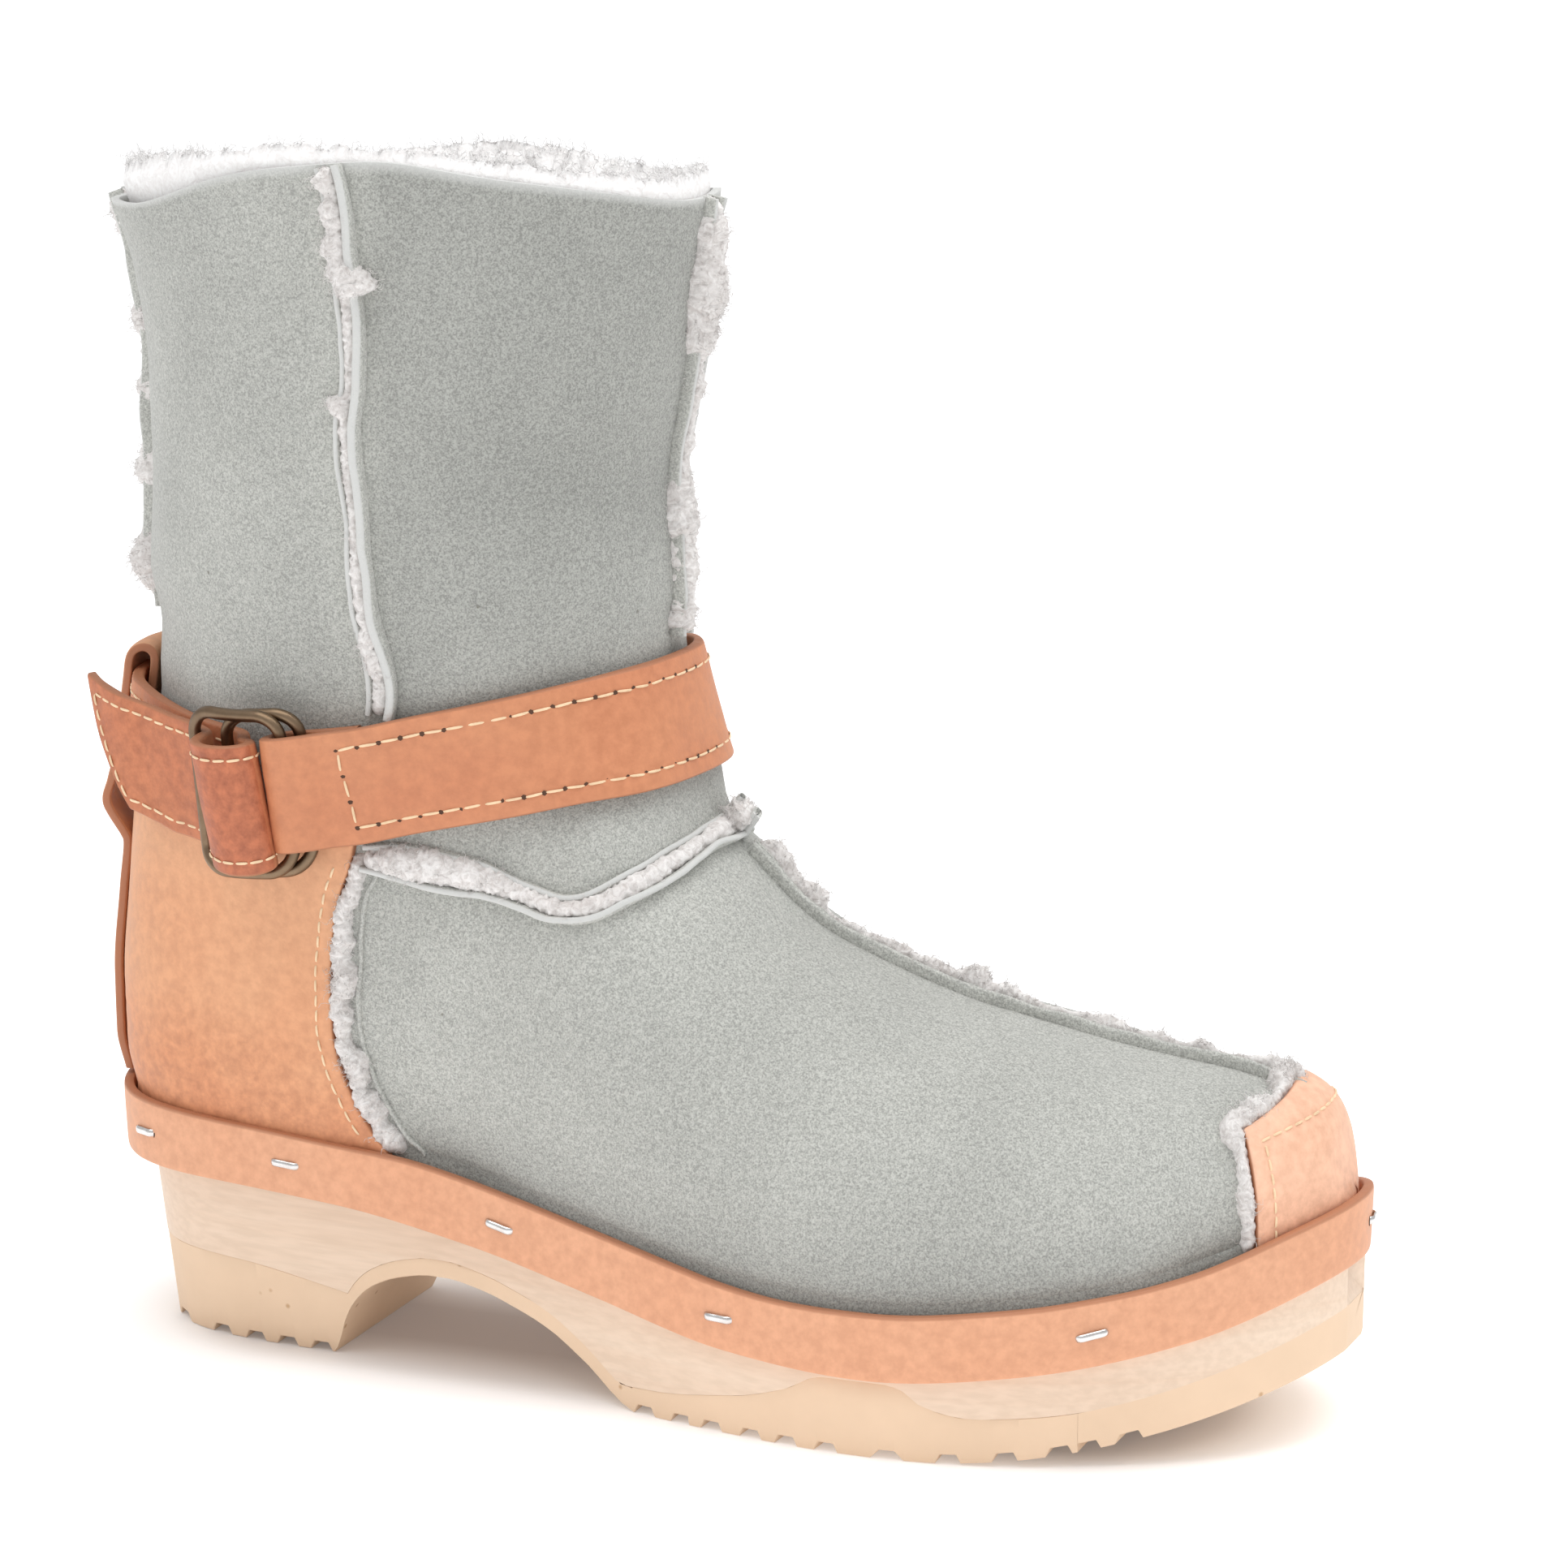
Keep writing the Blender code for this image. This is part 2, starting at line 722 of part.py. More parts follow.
wood_rings = [
    sole_ring(lambda x: side_inset(x, rubber_top(x)), lambda x: rubber_top(x) + half_gap),
    matched_ring(lambda x: side_inset(x, welt_bottom(x)), lambda x: welt_bottom(x) + ledge),
    matched_ring(rebate, lambda x: welt_bottom(x) + ledge),
    matched_ring(rebate, lambda x: footbed(x) - footbed_chamfer),
    matched_ring(lambda x: rebate(x) + footbed_chamfer, footbed),
]
stacked(
    "wood_sole",
    wood_rings,
    (sole_x, lambda x, share: rubber_top(x, lip_share(share)) + half_gap),
    (halved(upper_x), lambda x, share: footbed(x) - dish(x, share)),
    wood,
)
outsole = stacked(
    "outsole",
    [
        sole_ring(lambda x: side_inset(x, underside(x)), underside),
        sole_ring(lambda x: side_inset(x, rubber_top(x)), lambda x: rubber_top(x) - half_gap),
    ],
    (sole_x, lambda x, share: underside(x)),
    (sole_x, lambda x, share: rubber_top(x, lip_share(share)) - half_gap),
    rubber_beige,
)
arch_at = np.linspace(0, 1, 17)
arch_outline = [(arch_start + s * arch_length, arch_rise * smooth(arch, "rise", s)) for s in arch_at]
arch_outline[0] = (arch_start, 0.0)
arch_outline += [(arch_start + arch_length, -heel_side), (arch_start, -heel_side)]
boolean(outsole, prism("arch_cutter", arch_outline, -reach, reach, "y"), "DIFFERENCE")

# Tread grooves: place along the boot as shares of its length, and turn in degrees
grooves = table(
    "along turn",
    (0.064, 0),
    (0.108, 0),
    (0.140, 0),
    (0.169, 0),
    (0.199, 0),
    (0.492, 0),
    (0.525, 0),
    (0.560, 3),
    (0.594, 3),
    (0.627, 4),
    (0.660, 4),
    (0.696, 0),
    (0.730, -4),
    (0.766, -6),
    (0.810, -4),
    (0.839, 0),
    (0.867, 0),
)
groove_points, groove_faces = [], []
for along, turn in zip(*grooves.values()):
    x = along * boot_length
    top = float(underside(x)) + groove_depth
    start = len(groove_points)
    corners = box_points((groove_width, reach, 2 * groove_depth), (x, 0, top - groove_depth), math.radians(turn))
    flare = groove_flare * 2
    corners = [
        (cx + (flare if k in (1, 2) else -flare) if k < 4 else cx, cy, cz) for k, (cx, cy, cz) in enumerate(corners)
    ]
    groove_points += corners
    for face in ((0, 1, 2, 3), (4, 5, 6, 7), (0, 1, 5, 4), (1, 2, 6, 5), (2, 3, 7, 6), (3, 0, 4, 7)):
        groove_faces.append(tuple(start + i for i in face))
boolean(outsole, hide_cutter(add_mesh("groove_cutter", groove_points, groove_faces, wood)), "DIFFERENCE")

# Upper, with the band that holds it, and the insole inside
thick_tube("upper", skin_at(-upper_thickness), skin, suede)
thick_tube(
    "welt_band",
    np.array([edge_ring(lambda x: band_thickness + 0 * x, h) for h in (welt_bottom, welt_top)]),
    np.array([edge_ring(lambda x: 0 * x, h) for h in (welt_bottom, welt_top)]),
    tan_leather,
)
insole_side = [insole_clearance, insole_clearance + insole_thickness * 0.2]
stacked(
    "insole",
    [
        edge_ring(
            lambda x: rebate(x) + footbed_chamfer + insole_side[0],
            lambda x: footbed(x) + fit_gap,
        ),
        edge_ring(
            lambda x: rebate(x) + footbed_chamfer + insole_side[1],
            lambda x: footbed(x) + fit_gap + insole_thickness,
        ),
    ],
    (upper_x, lambda x, share: footbed(x) - dish(x, share) + fit_gap),
    (upper_x, lambda x, share: footbed(x) - dish(x, share) + fit_gap + insole_thickness),
    fleece,
)


def overlay(name, rows, cols, depth, thickness, finish):
    """A plate over part of the upper: the form one gap proud of it, up to the form a thickness further out."""
    cols = np.array(cols) % upper_columns
    inner, outer = skin_at(depth)[rows], skin_at(depth + thickness)[rows]
    return thick_patch(name, inner[:, cols], outer[:, cols], finish)


quarter, half_turn = upper_columns // 4, upper_columns // 2
foot_rows = slice(0, 2 + len(foot_sections["heel"]))
shaft_rows = slice(foot_rows.stop - 2, len(skin))


def strap_middle(x):
    return ankle_height * smooth(strap_line, "height", x / boot_length)


# Heel counter: front edge from the band up to the ankle seam, top edge just under the strap
counter_front = table(
    "along height",  # shares of boot_length and ankle_height
    (0.277, 0.30),
    (0.273, 0.39),
    (0.263, 0.41),
    (0.250, 0.46),
    (0.237, 0.53),
    (0.231, 0.60),
    (0.231, 0.67),
    (0.235, 0.75),
    (0.245, 0.84),
    (0.2535, 0.885),
)
under_strap = strap_width / 2 + 0.0008
counter_top = [x * boot_length for x in (0.2535, 0.19, 0.12, 0.05, 0.0, -0.10)]
counter_outline = [(a * boot_length, h * ankle_height) for a, h in zip(*counter_front.values())]
counter_outline = counter_outline[:-1] + [(x, float(strap_middle(x)) - under_strap) for x in counter_top]
counter_outline += [(counter_top[-1], 0.0), (0.277 * boot_length, 0.0)]
counter = overlay(
    "heel_counter", foot_rows, range(quarter + 1, 3 * quarter), fit_gap, counter_thickness, tan_leather
)
boolean(counter, prism("counter_cutter", counter_outline, -reach, reach, "y"), "INTERSECT")

# Toe tab: a leather piece folded over the toe
tab_edge = table(
    "along side",  # shares of boot_length and of half ball_width
    (0.950, -0.43),
    (0.964, 0.16),
    (0.942, 0.72),
    (1.050, 0.72),
    (1.050, -0.43),
)
tab = overlay("toe_tab", slice(0, 6), range(-quarter + 2, quarter - 1), fit_gap, tab_thickness, tan_leather)
tab_outline = [(a * boot_length, s * ball_width / 2) for a, s in zip(*tab_edge.values())]
boolean(tab, prism("tab_cutter", tab_outline, -reach, reach, "z"), "INTERSECT")

# Raised seams
vamp_start, vamp_end = 0.516, 0.958  # shares of boot_length
vamp_x = np.linspace(vamp_start, vamp_end, 12) * boot_length
vamp_line = np.column_stack([vamp_x, centre_line(vamp_x)])
vamp_seam = overlay("vamp_seam", slice(4, foot_rows.stop), range(-1, 2), fit_gap, seam_height, suede)
boolean(vamp_seam, prism("vamp_cutter", ribbon(vamp_line, seam_width), -reach, reach, "z"), "INTERSECT")

ankle_path = table(
    "along height",  # shares of boot_length and ankle_height
    (0.262, 0.903),
    (0.300, 0.900),
    (0.345, 0.890),
    (0.385, 0.865),
    (0.420, 0.850),
    (0.450, 0.858),
    (0.475, 0.892),
    (0.495, 0.938),
    (0.520, 1.010),
)
ankle_line = [(a * boot_length, h * ankle_height) for a, h in zip(*ankle_path.values())]
ankle_seam = overlay(
    "ankle_seam", slice(8, foot_rows.stop + 1), range(-quarter - 1, quarter + 2), fit_gap, seam_height, suede
)
boolean(ankle_seam, prism("ankle_cutter", ribbon(ankle_line, seam_width), -reach, reach, "y"), "INTERSECT")

seam_foot = strap_width / 2 + 0.0012  # shaft seams start this far above the middle of the strap
side_seam = table("height along", (0.56, 0.284), (0.75, 0.275), (1.02, 0.258))  # shares of boot_height, boot_length
for name, cols, side in (
    ("shaft_lateral_seam", range(-quarter - 1, -quarter + 4), -1),
    ("shaft_medial_seam", range(quarter - 3, quarter + 2), 1),
):
    line = [(a * boot_length, h * boot_height) for h, a in zip(*side_seam.values())]
    line[0] = (line[0][0], float(strap_middle(line[0][0])) + seam_foot)
    seam = overlay(name, shaft_rows, cols, fit_gap, seam_height, suede)
    ends = sorted((0.0, side * reach))
    boolean(seam, prism(name + "_cutter", ribbon(line, seam_width), *ends, "y"), "INTERSECT")
for name, cols, start, stop in (
    ("shaft_front_seam", range(-1, 2), 0.3 * boot_length, reach * 2),
    ("shaft_back_seam", range(half_turn - 1, half_turn + 2), -reach, 0.2 * boot_length),
):
    seam = overlay(name, shaft_rows, cols, fit_gap, seam_height, suede)
    at = 0.5 * boot_length if "front" in name else 0.0
    lowest = float(strap_middle(at)) + seam_foot + (loop_stand if "back" in name else 0)
    middle = float(centre_line(collar_length)) if "front" in name else 0.0
    slab = box_points(
        (stop - start, seam_width, reach), ((start + stop) / 2, middle, lowest + reach / 2)
    )
    faces = [(0, 1, 2, 3), (4, 5, 6, 7), (0, 1, 5, 4), (1, 2, 6, 5), (2, 3, 7, 6), (3, 0, 4, 7)]
    boolean(seam, hide_cutter(add_mesh(name + "_cutter", slab, faces, wood)), "INTERSECT")

# Ankle strap: places are given by the run along the strap's girth, forward from the buckle on the
# lateral side, by the distance off the upper, and by the share of the strap's width
girth_axis = 0.52 * collar_length
buckle_x = 0.212 * boot_length
strap_gap = 0.0009
turns = np.linspace(0, 2 * math.pi, 240, endpoint=False)
skin_tree = BVHTree.FromPolygons(skin.reshape(-1, 3).tolist(), sheet_faces(len(skin), upper_columns, 0, True))


def skin_reach(turn, height, tree=skin_tree):
    """Distances from the girth's axis to the upper along level rays, height being a function of x."""
    found = []
    for t in turn:
        distance = girth_axis
        for _ in range(4):
            start = (girth_axis, 0.0, float(height(girth_axis + distance * math.cos(t))))
            distance = tree.ray_cast(start, (math.cos(t), math.sin(t), 0.0))[3]
        found.append(distance)
    return np.array(found)


# The strap lies straight across its width, and clears the upper from edge to edge
across = np.linspace(-0.5, 0.5, 5)
reaches = np.array([skin_reach(turns, lambda x, s=s: strap_middle(x) + s * strap_width) for s in across])
near = range(-5, 6)
lower, upper = (np.mean([np.roll(reaches[row], k) for k in near], axis=0) for row in (0, -1))
lift = (reaches - lower - (upper - lower) * (across + 0.5)[:, None]).max(axis=0)
lift = np.max([np.roll(lift, k) for k in near], axis=0)
lift = np.mean([np.roll(lift, k) for k in near], axis=0)
edge_reach = {-0.5: lower + lift, 0.5: upper + lift}


def girth_points(share):
    """Points round the upper on one edge of the strap."""
    x = girth_axis + edge_reach[share] * np.cos(turns)
    return np.column_stack([x, edge_reach[share] * np.sin(turns), strap_middle(x) + share * strap_width])


lower_edge, upper_edge = girth_points(-0.5), girth_points(0.5)
middle_line = (lower_edge + upper_edge) / 2
steps = np.linalg.norm(np.roll(middle_line, -1, 0) - middle_line, axis=1)
girth_run = np.r_[0, np.cumsum(steps)]
girth_length = girth_run[-1]
on_side = middle_line[:, 1] < 0
start_at = np.argmin(np.where(on_side, np.abs(middle_line[:, 0] - buckle_x), reach))
run = np.roll(middle_line, -4, 0) - np.roll(middle_line, 4, 0)
girth_out = np.stack([run[:, 1], -run[:, 0], 0 * run[:, 0]], axis=1)
girth_out /= np.linalg.norm(girth_out, axis=1)[:, None]


def by_strap(along, off, share):
    """A place by its run along the girth, its distance off the upper and its share of the width."""
    at = (girth_run[start_at] + np.asarray(along, float)) % girth_length

    def read(values):
        ring = np.vstack([values, values[:1]])
        return np.stack([np.interp(at, girth_run, column) for column in ring.T], axis=-1)

    share = np.asarray(share, float)[..., None]
    return read(lower_edge) * (0.5 - share) + read(upper_edge) * (0.5 + share) + read(girth_out) * np.asarray(off)[..., None]


first_layer = strap_gap + strap_thickness / 2
wire = wire_diameter / 2
wire_off = strap_gap + strap_thickness + fit_gap + wire
outer_wire_off = wire_off + wire_diameter + fit_gap
fold_radius = wire + 1.7 * fit_gap + strap_thickness / 2
outer_layer = outer_wire_off + fold_radius
bar_span = ring_width - wire_diameter
bar_step = 0.0026
fold_at = 0.0016
front_bar, rear_bar = fold_at + bar_step, fold_at
ring_tilt = 0.008  # how far the foot of each ring leans out over the counter, per share of the strap
turn_radius = (wire_diameter + strap_thickness) / 2 + 3 * fit_gap
turn_at = fold_at - fold_radius - strap_thickness - 2 * fit_gap - turn_radius
inner_left = (front_bar - bar_span + fit_gap, wire_off + fit_gap)
outer_left = (rear_bar - bar_span + 0.0004, inner_left[1] + wire_diameter + strap_thickness + 0.0006)
between = ((inner_left[0] + outer_left[0]) / 2, (inner_left[1] + outer_left[1]) / 2)
back_run = girth_run[len(turns) // 2]
loop_run = (back_run - girth_run[start_at]) % girth_length
loop_step = backstay_thickness + fit_gap
tail_length = 0.0315
tail_slant = 0.0095  # how much shorter the tail is at its lower edge
end = girth_length


def arc(centre, radius, start, stop, count):
    turn = np.radians(np.linspace(start, stop, count))
    return [(centre[0] + radius * math.cos(t), centre[1] + radius * math.sin(t)) for t in turn]


strap_route = [(0.0150, first_layer), (0.0080, first_layer)]
strap_route += arc((rear_bar, wire_off), fold_radius, 270, 180, 4)
strap_route += arc((rear_bar, outer_wire_off), fold_radius, 180, 80, 4)
strap_route += [
    (front_bar + 0.0014, wire_off + fold_radius + 0.0012),
    (0.0100, first_layer + strap_thickness + 0.0018),
    (0.0160, first_layer + strap_thickness + 0.0006),
    (0.0220, first_layer + 0.0010),
    (0.0290, first_layer),
    (0.0600, first_layer),
    (0.1000, first_layer),
    (loop_run - 0.0450, first_layer),
    (loop_run - 0.0250, first_layer + 0.0006),
    (loop_run - 0.0135, first_layer + loop_step),
    (loop_run, first_layer + loop_step),
    (loop_run + 0.0135, first_layer + loop_step),
    (loop_run + 0.0230, first_layer + 0.0006),
    (loop_run + 0.0320, first_layer),
    (end - 0.0240, first_layer),
    (end + turn_at - 0.0030, first_layer),
]
strap_route += arc((end + turn_at, first_layer + turn_radius), turn_radius, -90, 90, 6)
strap_route += [
    (end + between[0] + 0.0028, between[1] + 0.0010),
    (end + between[0], between[1]),
    (end + outer_left[0] - 0.0028, between[1] - 0.0019),
    (end + outer_left[0] - 0.0085, between[1] - 0.0028),
    (end + outer_left[0] - 0.0180, between[1] - 0.0006),
    (end + outer_left[0] - 0.0240, between[1] + 0.0024),
    (end + outer_left[0] - tail_length, between[1] + 0.0062),
]
route = smooth_path(strap_route, 0.0075)


def strap_mesh():
    half = strap_thickness / 2
    returned = np.arange(len(route)) > np.argmax(route[:, 0])
    tail_from = end + outer_left[0] - 0.3 * tail_length
    free = returned * np.clip((tail_from - route[:, 0]) / (0.7 * tail_length), 0, 1)
    sections = []
    for sign, share in ((-1, -0.5), (1, -0.5), (1, 0.0), (1, 0.5), (-1, 0.5), (-1, 0.0)):
        along, off = beside(route, sign * half).T
        cut = along + tail_slant * free * (0.5 - share)
        off = np.where(free > 0, np.interp(-cut, -along[returned], off[returned]), off)
        sections.append(by_strap(cut, off, share))
    points = np.stack(sections, axis=1)
    rows = len(points)
    faces = sheet_faces(rows, 6, 0, True)
    faces += [tuple(range(6)), tuple((rows - 1) * 6 + i for i in range(6))]
    return add_mesh("ankle_strap", points.reshape(-1, 3), faces, tan_leather)


strap_mesh()


def ring_mesh(name, left, right):
    """A rounded rectangle of round wire between two upright bars, its level bars bent to the ankle."""
    sides = 6
    half_x, half_z = (right[0] - left[0]) / 2, (ring_height - wire_diameter) / 2
    path = []
    for sx, sz, start in ((1, 1, 0), (-1, 1, 90), (-1, -1, 180), (1, -1, 270)):
        centre = (sx * (half_x - ring_corner), sz * (half_z - ring_corner))
        path += arc(centre, ring_corner, start, start + 90, 4)
    across, up = np.array(path).T
    along = (left[0] + right[0]) / 2 + across
    off = left[1] + (right[1] - left[1]) * (across / half_x + 1) / 2
    off += ring_tilt * np.clip(-up / strap_width - 0.5, 0, None)
    line = by_strap(along, off, up / strap_width)
    outer = by_strap(along, off + wire, up / strap_width) - line
    run = np.roll(line, -1, 0) - np.roll(line, 1, 0)
    side = np.cross(run, outer)
    side *= wire / np.linalg.norm(side, axis=1)[:, None]
    points = []
    for turn in np.arange(sides) * 2 * math.pi / sides:
        points.append(line + outer * math.cos(turn) + side * math.sin(turn))
    points = np.stack(points, axis=1).reshape(-1, 3)
    faces = sheet_faces(len(path), sides, 0, True)
    last = (len(path) - 1) * sides
    faces += [(last + c, last + (c + 1) % sides, (c + 1) % sides, c) for c in range(sides)]
    return add_mesh(name, points, faces, brass)


ring_mesh("buckle_ring_inner", inner_left, (front_bar, wire_off))
ring_mesh("buckle_ring_outer", outer_left, (rear_bar, outer_wire_off))

# Backstay: a strip up the counter's back seam, over the strap and folded in behind it
strap_back_z = middle_line[len(turns) // 2, 2]
stay_low = 2 * fit_gap + backstay_thickness / 2
stay_in = fit_gap + backstay_thickness / 2
stay_out = strap_gap + loop_step + strap_thickness + 2 * fit_gap + backstay_thickness / 2
loop_radius = (stay_out - stay_in) / 2
trim = skin_at(fit_gap + counter_thickness)
trim_tree = BVHTree.FromPolygons(trim.reshape(-1, 3).tolist(), sheet_faces(len(skin), upper_columns, 0, True))
stay_foot = [(height, stay_low) for height in (float(welt_top(0.0)) + 0.0012, *trim[(2, 3, 5, 7, 8), half_turn, 2])]
stay_route = [
    (strap_back_z - strap_width / 2 - 0.0115, stay_low + 0.0006),
    (strap_back_z - strap_width / 2 - 0.0034, stay_out + 0.0006),
    (strap_back_z - strap_width / 4, stay_out),
    (strap_back_z + strap_width / 4, stay_out),
    (strap_back_z + strap_width / 2 - 0.0020, stay_out),
]
stay_route += [
    (z + strap_back_z + strap_width / 2, off)
    for off, z in arc((stay_in + loop_radius, 0.0012), loop_radius, 0, 180, 7)
]
stay_route += [(strap_back_z, stay_in), (strap_back_z - strap_width / 2 + 0.0006, stay_in)]
stay = np.vstack([stay_foot, smooth_path(stay_route, 0.0090)])


def backstay_mesh():
    spread = np.linspace(-1, 1, 5) * backstay_width / 2
    turn = math.pi + spread / (girth_axis - middle_line[len(turns) // 2, 0])
    low, high = (np.interp(turn, turns, edge_reach[share]) for share in (-0.5, 0.5))
    strap_low = strap_back_z - strap_width / 2
    faces_in, faces_out = [], []
    for rows, sign in ((faces_in, -1), (faces_out, 1)):
        for height, off in beside(stay, sign * backstay_thickness / 2):
            bare = skin_reach(turn, lambda x: height, trim_tree)
            under = low + (high - low) * (height - strap_low) / strap_width
            distance = bare + (under - bare) * ease(height, strap_low - loop_stand, strap_low)
            ring = np.column_stack([girth_axis + distance * np.cos(turn), distance * np.sin(turn), 0 * turn + height])
            slope = np.gradient(ring[:, :2], axis=0)
            out = np.stack([slope[:, 1], -slope[:, 0]], axis=1)
            ring[:, :2] += out / np.linalg.norm(out, axis=1)[:, None] * off
            rows.append(ring)
    return thick_patch("backstay_loop", np.array(faces_in), np.array(faces_out), tan_leather)


backstay_mesh()

# Staples: places along the lateral and medial side, as shares of boot_length
staple_places = [(share, side) for side in (-1, 1) for share in (0.054, 0.19, 0.371, 0.564, 0.845)]
toe_staple = (0.9985, 1)
for number, (share, side) in enumerate(staple_places + [toe_staple], start=1):
    mine = np.sign(outline[:, 1]) == side
    nearest = np.argmin(np.where(mine, np.abs(outline[:, 0] - share * boot_length), reach))
    x, y = outline[nearest]
    out = outline_out[nearest]
    run = np.array([-out[1], out[0]])
    rise = float(welt_bottom(x + run[0] * 0.002) - welt_bottom(x - run[0] * 0.002)) / 0.004
    centre = np.array([*(outline[nearest] + out * (fit_gap + staple_thickness / 2)), welt_bottom(x) + band_width / 2])
    long_way = np.array([*run, rise]) / math.hypot(1, rise)
    deep_way = np.array([*out, 0.0])
    tall_way = np.cross(long_way, deep_way)
    shape = ((-1, 0.35), (-0.72, 1), (0.72, 1), (1, 0.35), (1, -0.35), (0.72, -1), (-0.72, -1), (-1, -0.35))
    points = [
        centre
        + long_way * a * staple_length / 2
        + tall_way * b * staple_width / 2
        + deep_way * d * staple_thickness / 2
        for d in (-1, 1)
        for a, b in shape
    ]
    faces = [tuple(range(8)), tuple(range(8, 16))] + [(i, (i + 1) % 8, 8 + (i + 1) % 8, 8 + i) for i in range(8)]
    add_mesh(f"staple_{number:02d}", points, faces, steel)

# The origin is the middle of the boot's footprint on the floor
bpy.context.view_layer.update()
graph = bpy.context.evaluated_depsgraph_get()
corners = np.array(
    [
        corner[:]
        for piece in root.children
        if not piece.hide_render
        for corner in piece.evaluated_get(graph).bound_box
    ]
)
middle = (corners.min(axis=0) + corners.max(axis=0)) / 2
root.location = (-middle[0], -middle[1], 0)
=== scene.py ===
import math

import bpy
import numpy as np
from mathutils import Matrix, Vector


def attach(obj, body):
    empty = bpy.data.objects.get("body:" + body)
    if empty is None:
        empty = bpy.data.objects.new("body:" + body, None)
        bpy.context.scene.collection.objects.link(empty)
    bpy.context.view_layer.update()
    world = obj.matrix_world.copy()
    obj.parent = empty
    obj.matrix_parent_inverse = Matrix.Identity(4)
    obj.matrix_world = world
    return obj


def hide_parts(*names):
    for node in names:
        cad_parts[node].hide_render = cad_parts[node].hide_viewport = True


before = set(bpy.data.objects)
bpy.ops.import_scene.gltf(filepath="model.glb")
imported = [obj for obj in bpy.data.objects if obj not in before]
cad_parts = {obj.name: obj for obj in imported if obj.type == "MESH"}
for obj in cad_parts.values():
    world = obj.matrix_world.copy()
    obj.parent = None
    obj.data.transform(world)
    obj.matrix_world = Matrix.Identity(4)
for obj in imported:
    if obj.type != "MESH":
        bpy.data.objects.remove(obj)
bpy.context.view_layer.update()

# A right clog boot. Shapes are worked out in metres in the boot's own frame: x from heel to toe,
# the lateral side at -y and the floor at z = 0. ownFrame moves them into the frame of the CAD.
ownFrame = np.array([-0.130125, 0.000554, 0.0])
rng = np.random.default_rng(11)
mm = 0.001

boot = {
    "length": 0.264, "ballWidth": 0.0956, "heelWidth": 0.0662, "height": 0.246, "ankleHeight": 0.120,
    "collarLength": 0.128, "collarWidth": 0.093, "heelLift": 0.0366, "ballLift": 0.0165,
    "toeLift": 0.0352, "toeSpring": 0.0184, "gap": 0.0003, "drift": 0.05,
    "band": 0.0132, "bandThick": 0.0023, "upperThick": 0.0024, "counterThick": 0.0020,
}
bootLength, bandWidth, gap = boot["length"], boot["band"], boot["gap"]


def table(names, *rows):
    # rows of numbers, as one array for each named column
    return dict(zip(names.split(), np.array(rows, float).T))


plan = table(  # outline over the band: shares of the length, of half the heel width and half the ball width
    "along heel ball", (0, 0, 0), (0.034, -0.68, 0), (0.121, -1, 0), (0.341, -0.5, -0.41), (0.511, -0.15, -0.802),
    (0.663, 0, -1.029), (0.803, 0, -0.91), (0.924, 0, -0.554), (1, 0, 0.06), (0.951, 0, 0.69), (0.841, 0, 0.905),
    (0.701, 0, 0.971), (0.417, 0.4, 0.31), (0.121, 1, 0), (0.034, 0.68, 0),
)
weltLine = table(  # lower edge of the band, between the three lifts
    "along heel toe", (0, 1, 0), (0.114, 0.99, 0), (0.227, 0.905, 0), (0.341, 0.667, 0), (0.455, 0.353, 0),
    (0.568, 0.08, 0), (0.682, 0, 0), (0.795, 0, 0.144), (0.909, 0, 0.48), (1, 0, 1),
)
arch = table(  # opening under the arch
    "along rise", (0, 0), (0.021, 0.17), (0.036, 0.335), (0.056, 0.483), (0.082, 0.613), (0.114, 0.727), (0.157, 0.826),
    (0.205, 0.901), (0.265, 0.96), (0.325, 0.997), (0.395, 1), (0.466, 0.962), (0.536, 0.906), (0.606, 0.825),
    (0.679, 0.735), (0.752, 0.616), (0.806, 0.495), (0.86, 0.369), (0.907, 0.232), (0.955, 0.097), (1, 0),
)
rubberLine = table(  # rubber over the tread, and its lip round the ball
    "along thick lip", (0, 1.12, 0), (0.13, 1.06, 0), (0.215, 0.85, 0), (0.3, 0.5, 0), (0.44, 0.3, 0), (0.5, 0.33, 0),
    (0.57, 0.4, 0.09), (0.615, 0.42, 0.28), (0.645, 0.43, 0.5), (0.7, 0.46, 0.47), (0.725, 0.48, 0.2),
    (0.765, 0.52, 0.02), (0.85, 0.48, 0), (1, 0.54, 0),
)
crown = table(  # outer face of the vamp along its centre seam
    "along rise", (0.3, 1.26), (0.436, 1.22), (0.463, 1.083), (0.487, 0.914), (0.519, 0.812), (0.568, 0.7),
    (0.606, 0.648), (0.644, 0.607), (0.697, 0.554), (0.746, 0.515), (0.803, 0.463), (0.852, 0.415), (0.902, 0.359),
    (0.939, 0.293), (0.958, 0.244), (0.97, 0.18), (0.98, 0.02),
)
fullness = table(
    "along lateral medial", (0, 0, 0), (0.12, 0.012, 0.012), (0.4, 0.04, 0.06), (0.6, 0.03, 0.035),
    (0.8, 0.005, 0.005), (1, 0, 0),
)
shaft = table(  # level sections of heel and shaft
    "height back front half", (0.203, 0.05, 0.78, 0.29), (0.24, 0.034, 0.84, 0.31), (0.293, 0.033, 0.88, 0.33),
    (0.366, 0.046, 0.92, 0.355), (0.435, 0.06, 0.95, 0.385), (0.488, 0.072, 0.952, 0.412),
    (0.549, 0.092, 0.932, 0.435), (0.598, 0.098, 0.928, 0.447), (0.65, 0.077, 0.948, 0.463),
    (0.732, 0.079, 0.942, 0.478), (0.813, 0.078, 0.966, 0.488), (0.898, 0.056, 0.986, 0.496), (1, -0.008, 1.015, 0.505),
)
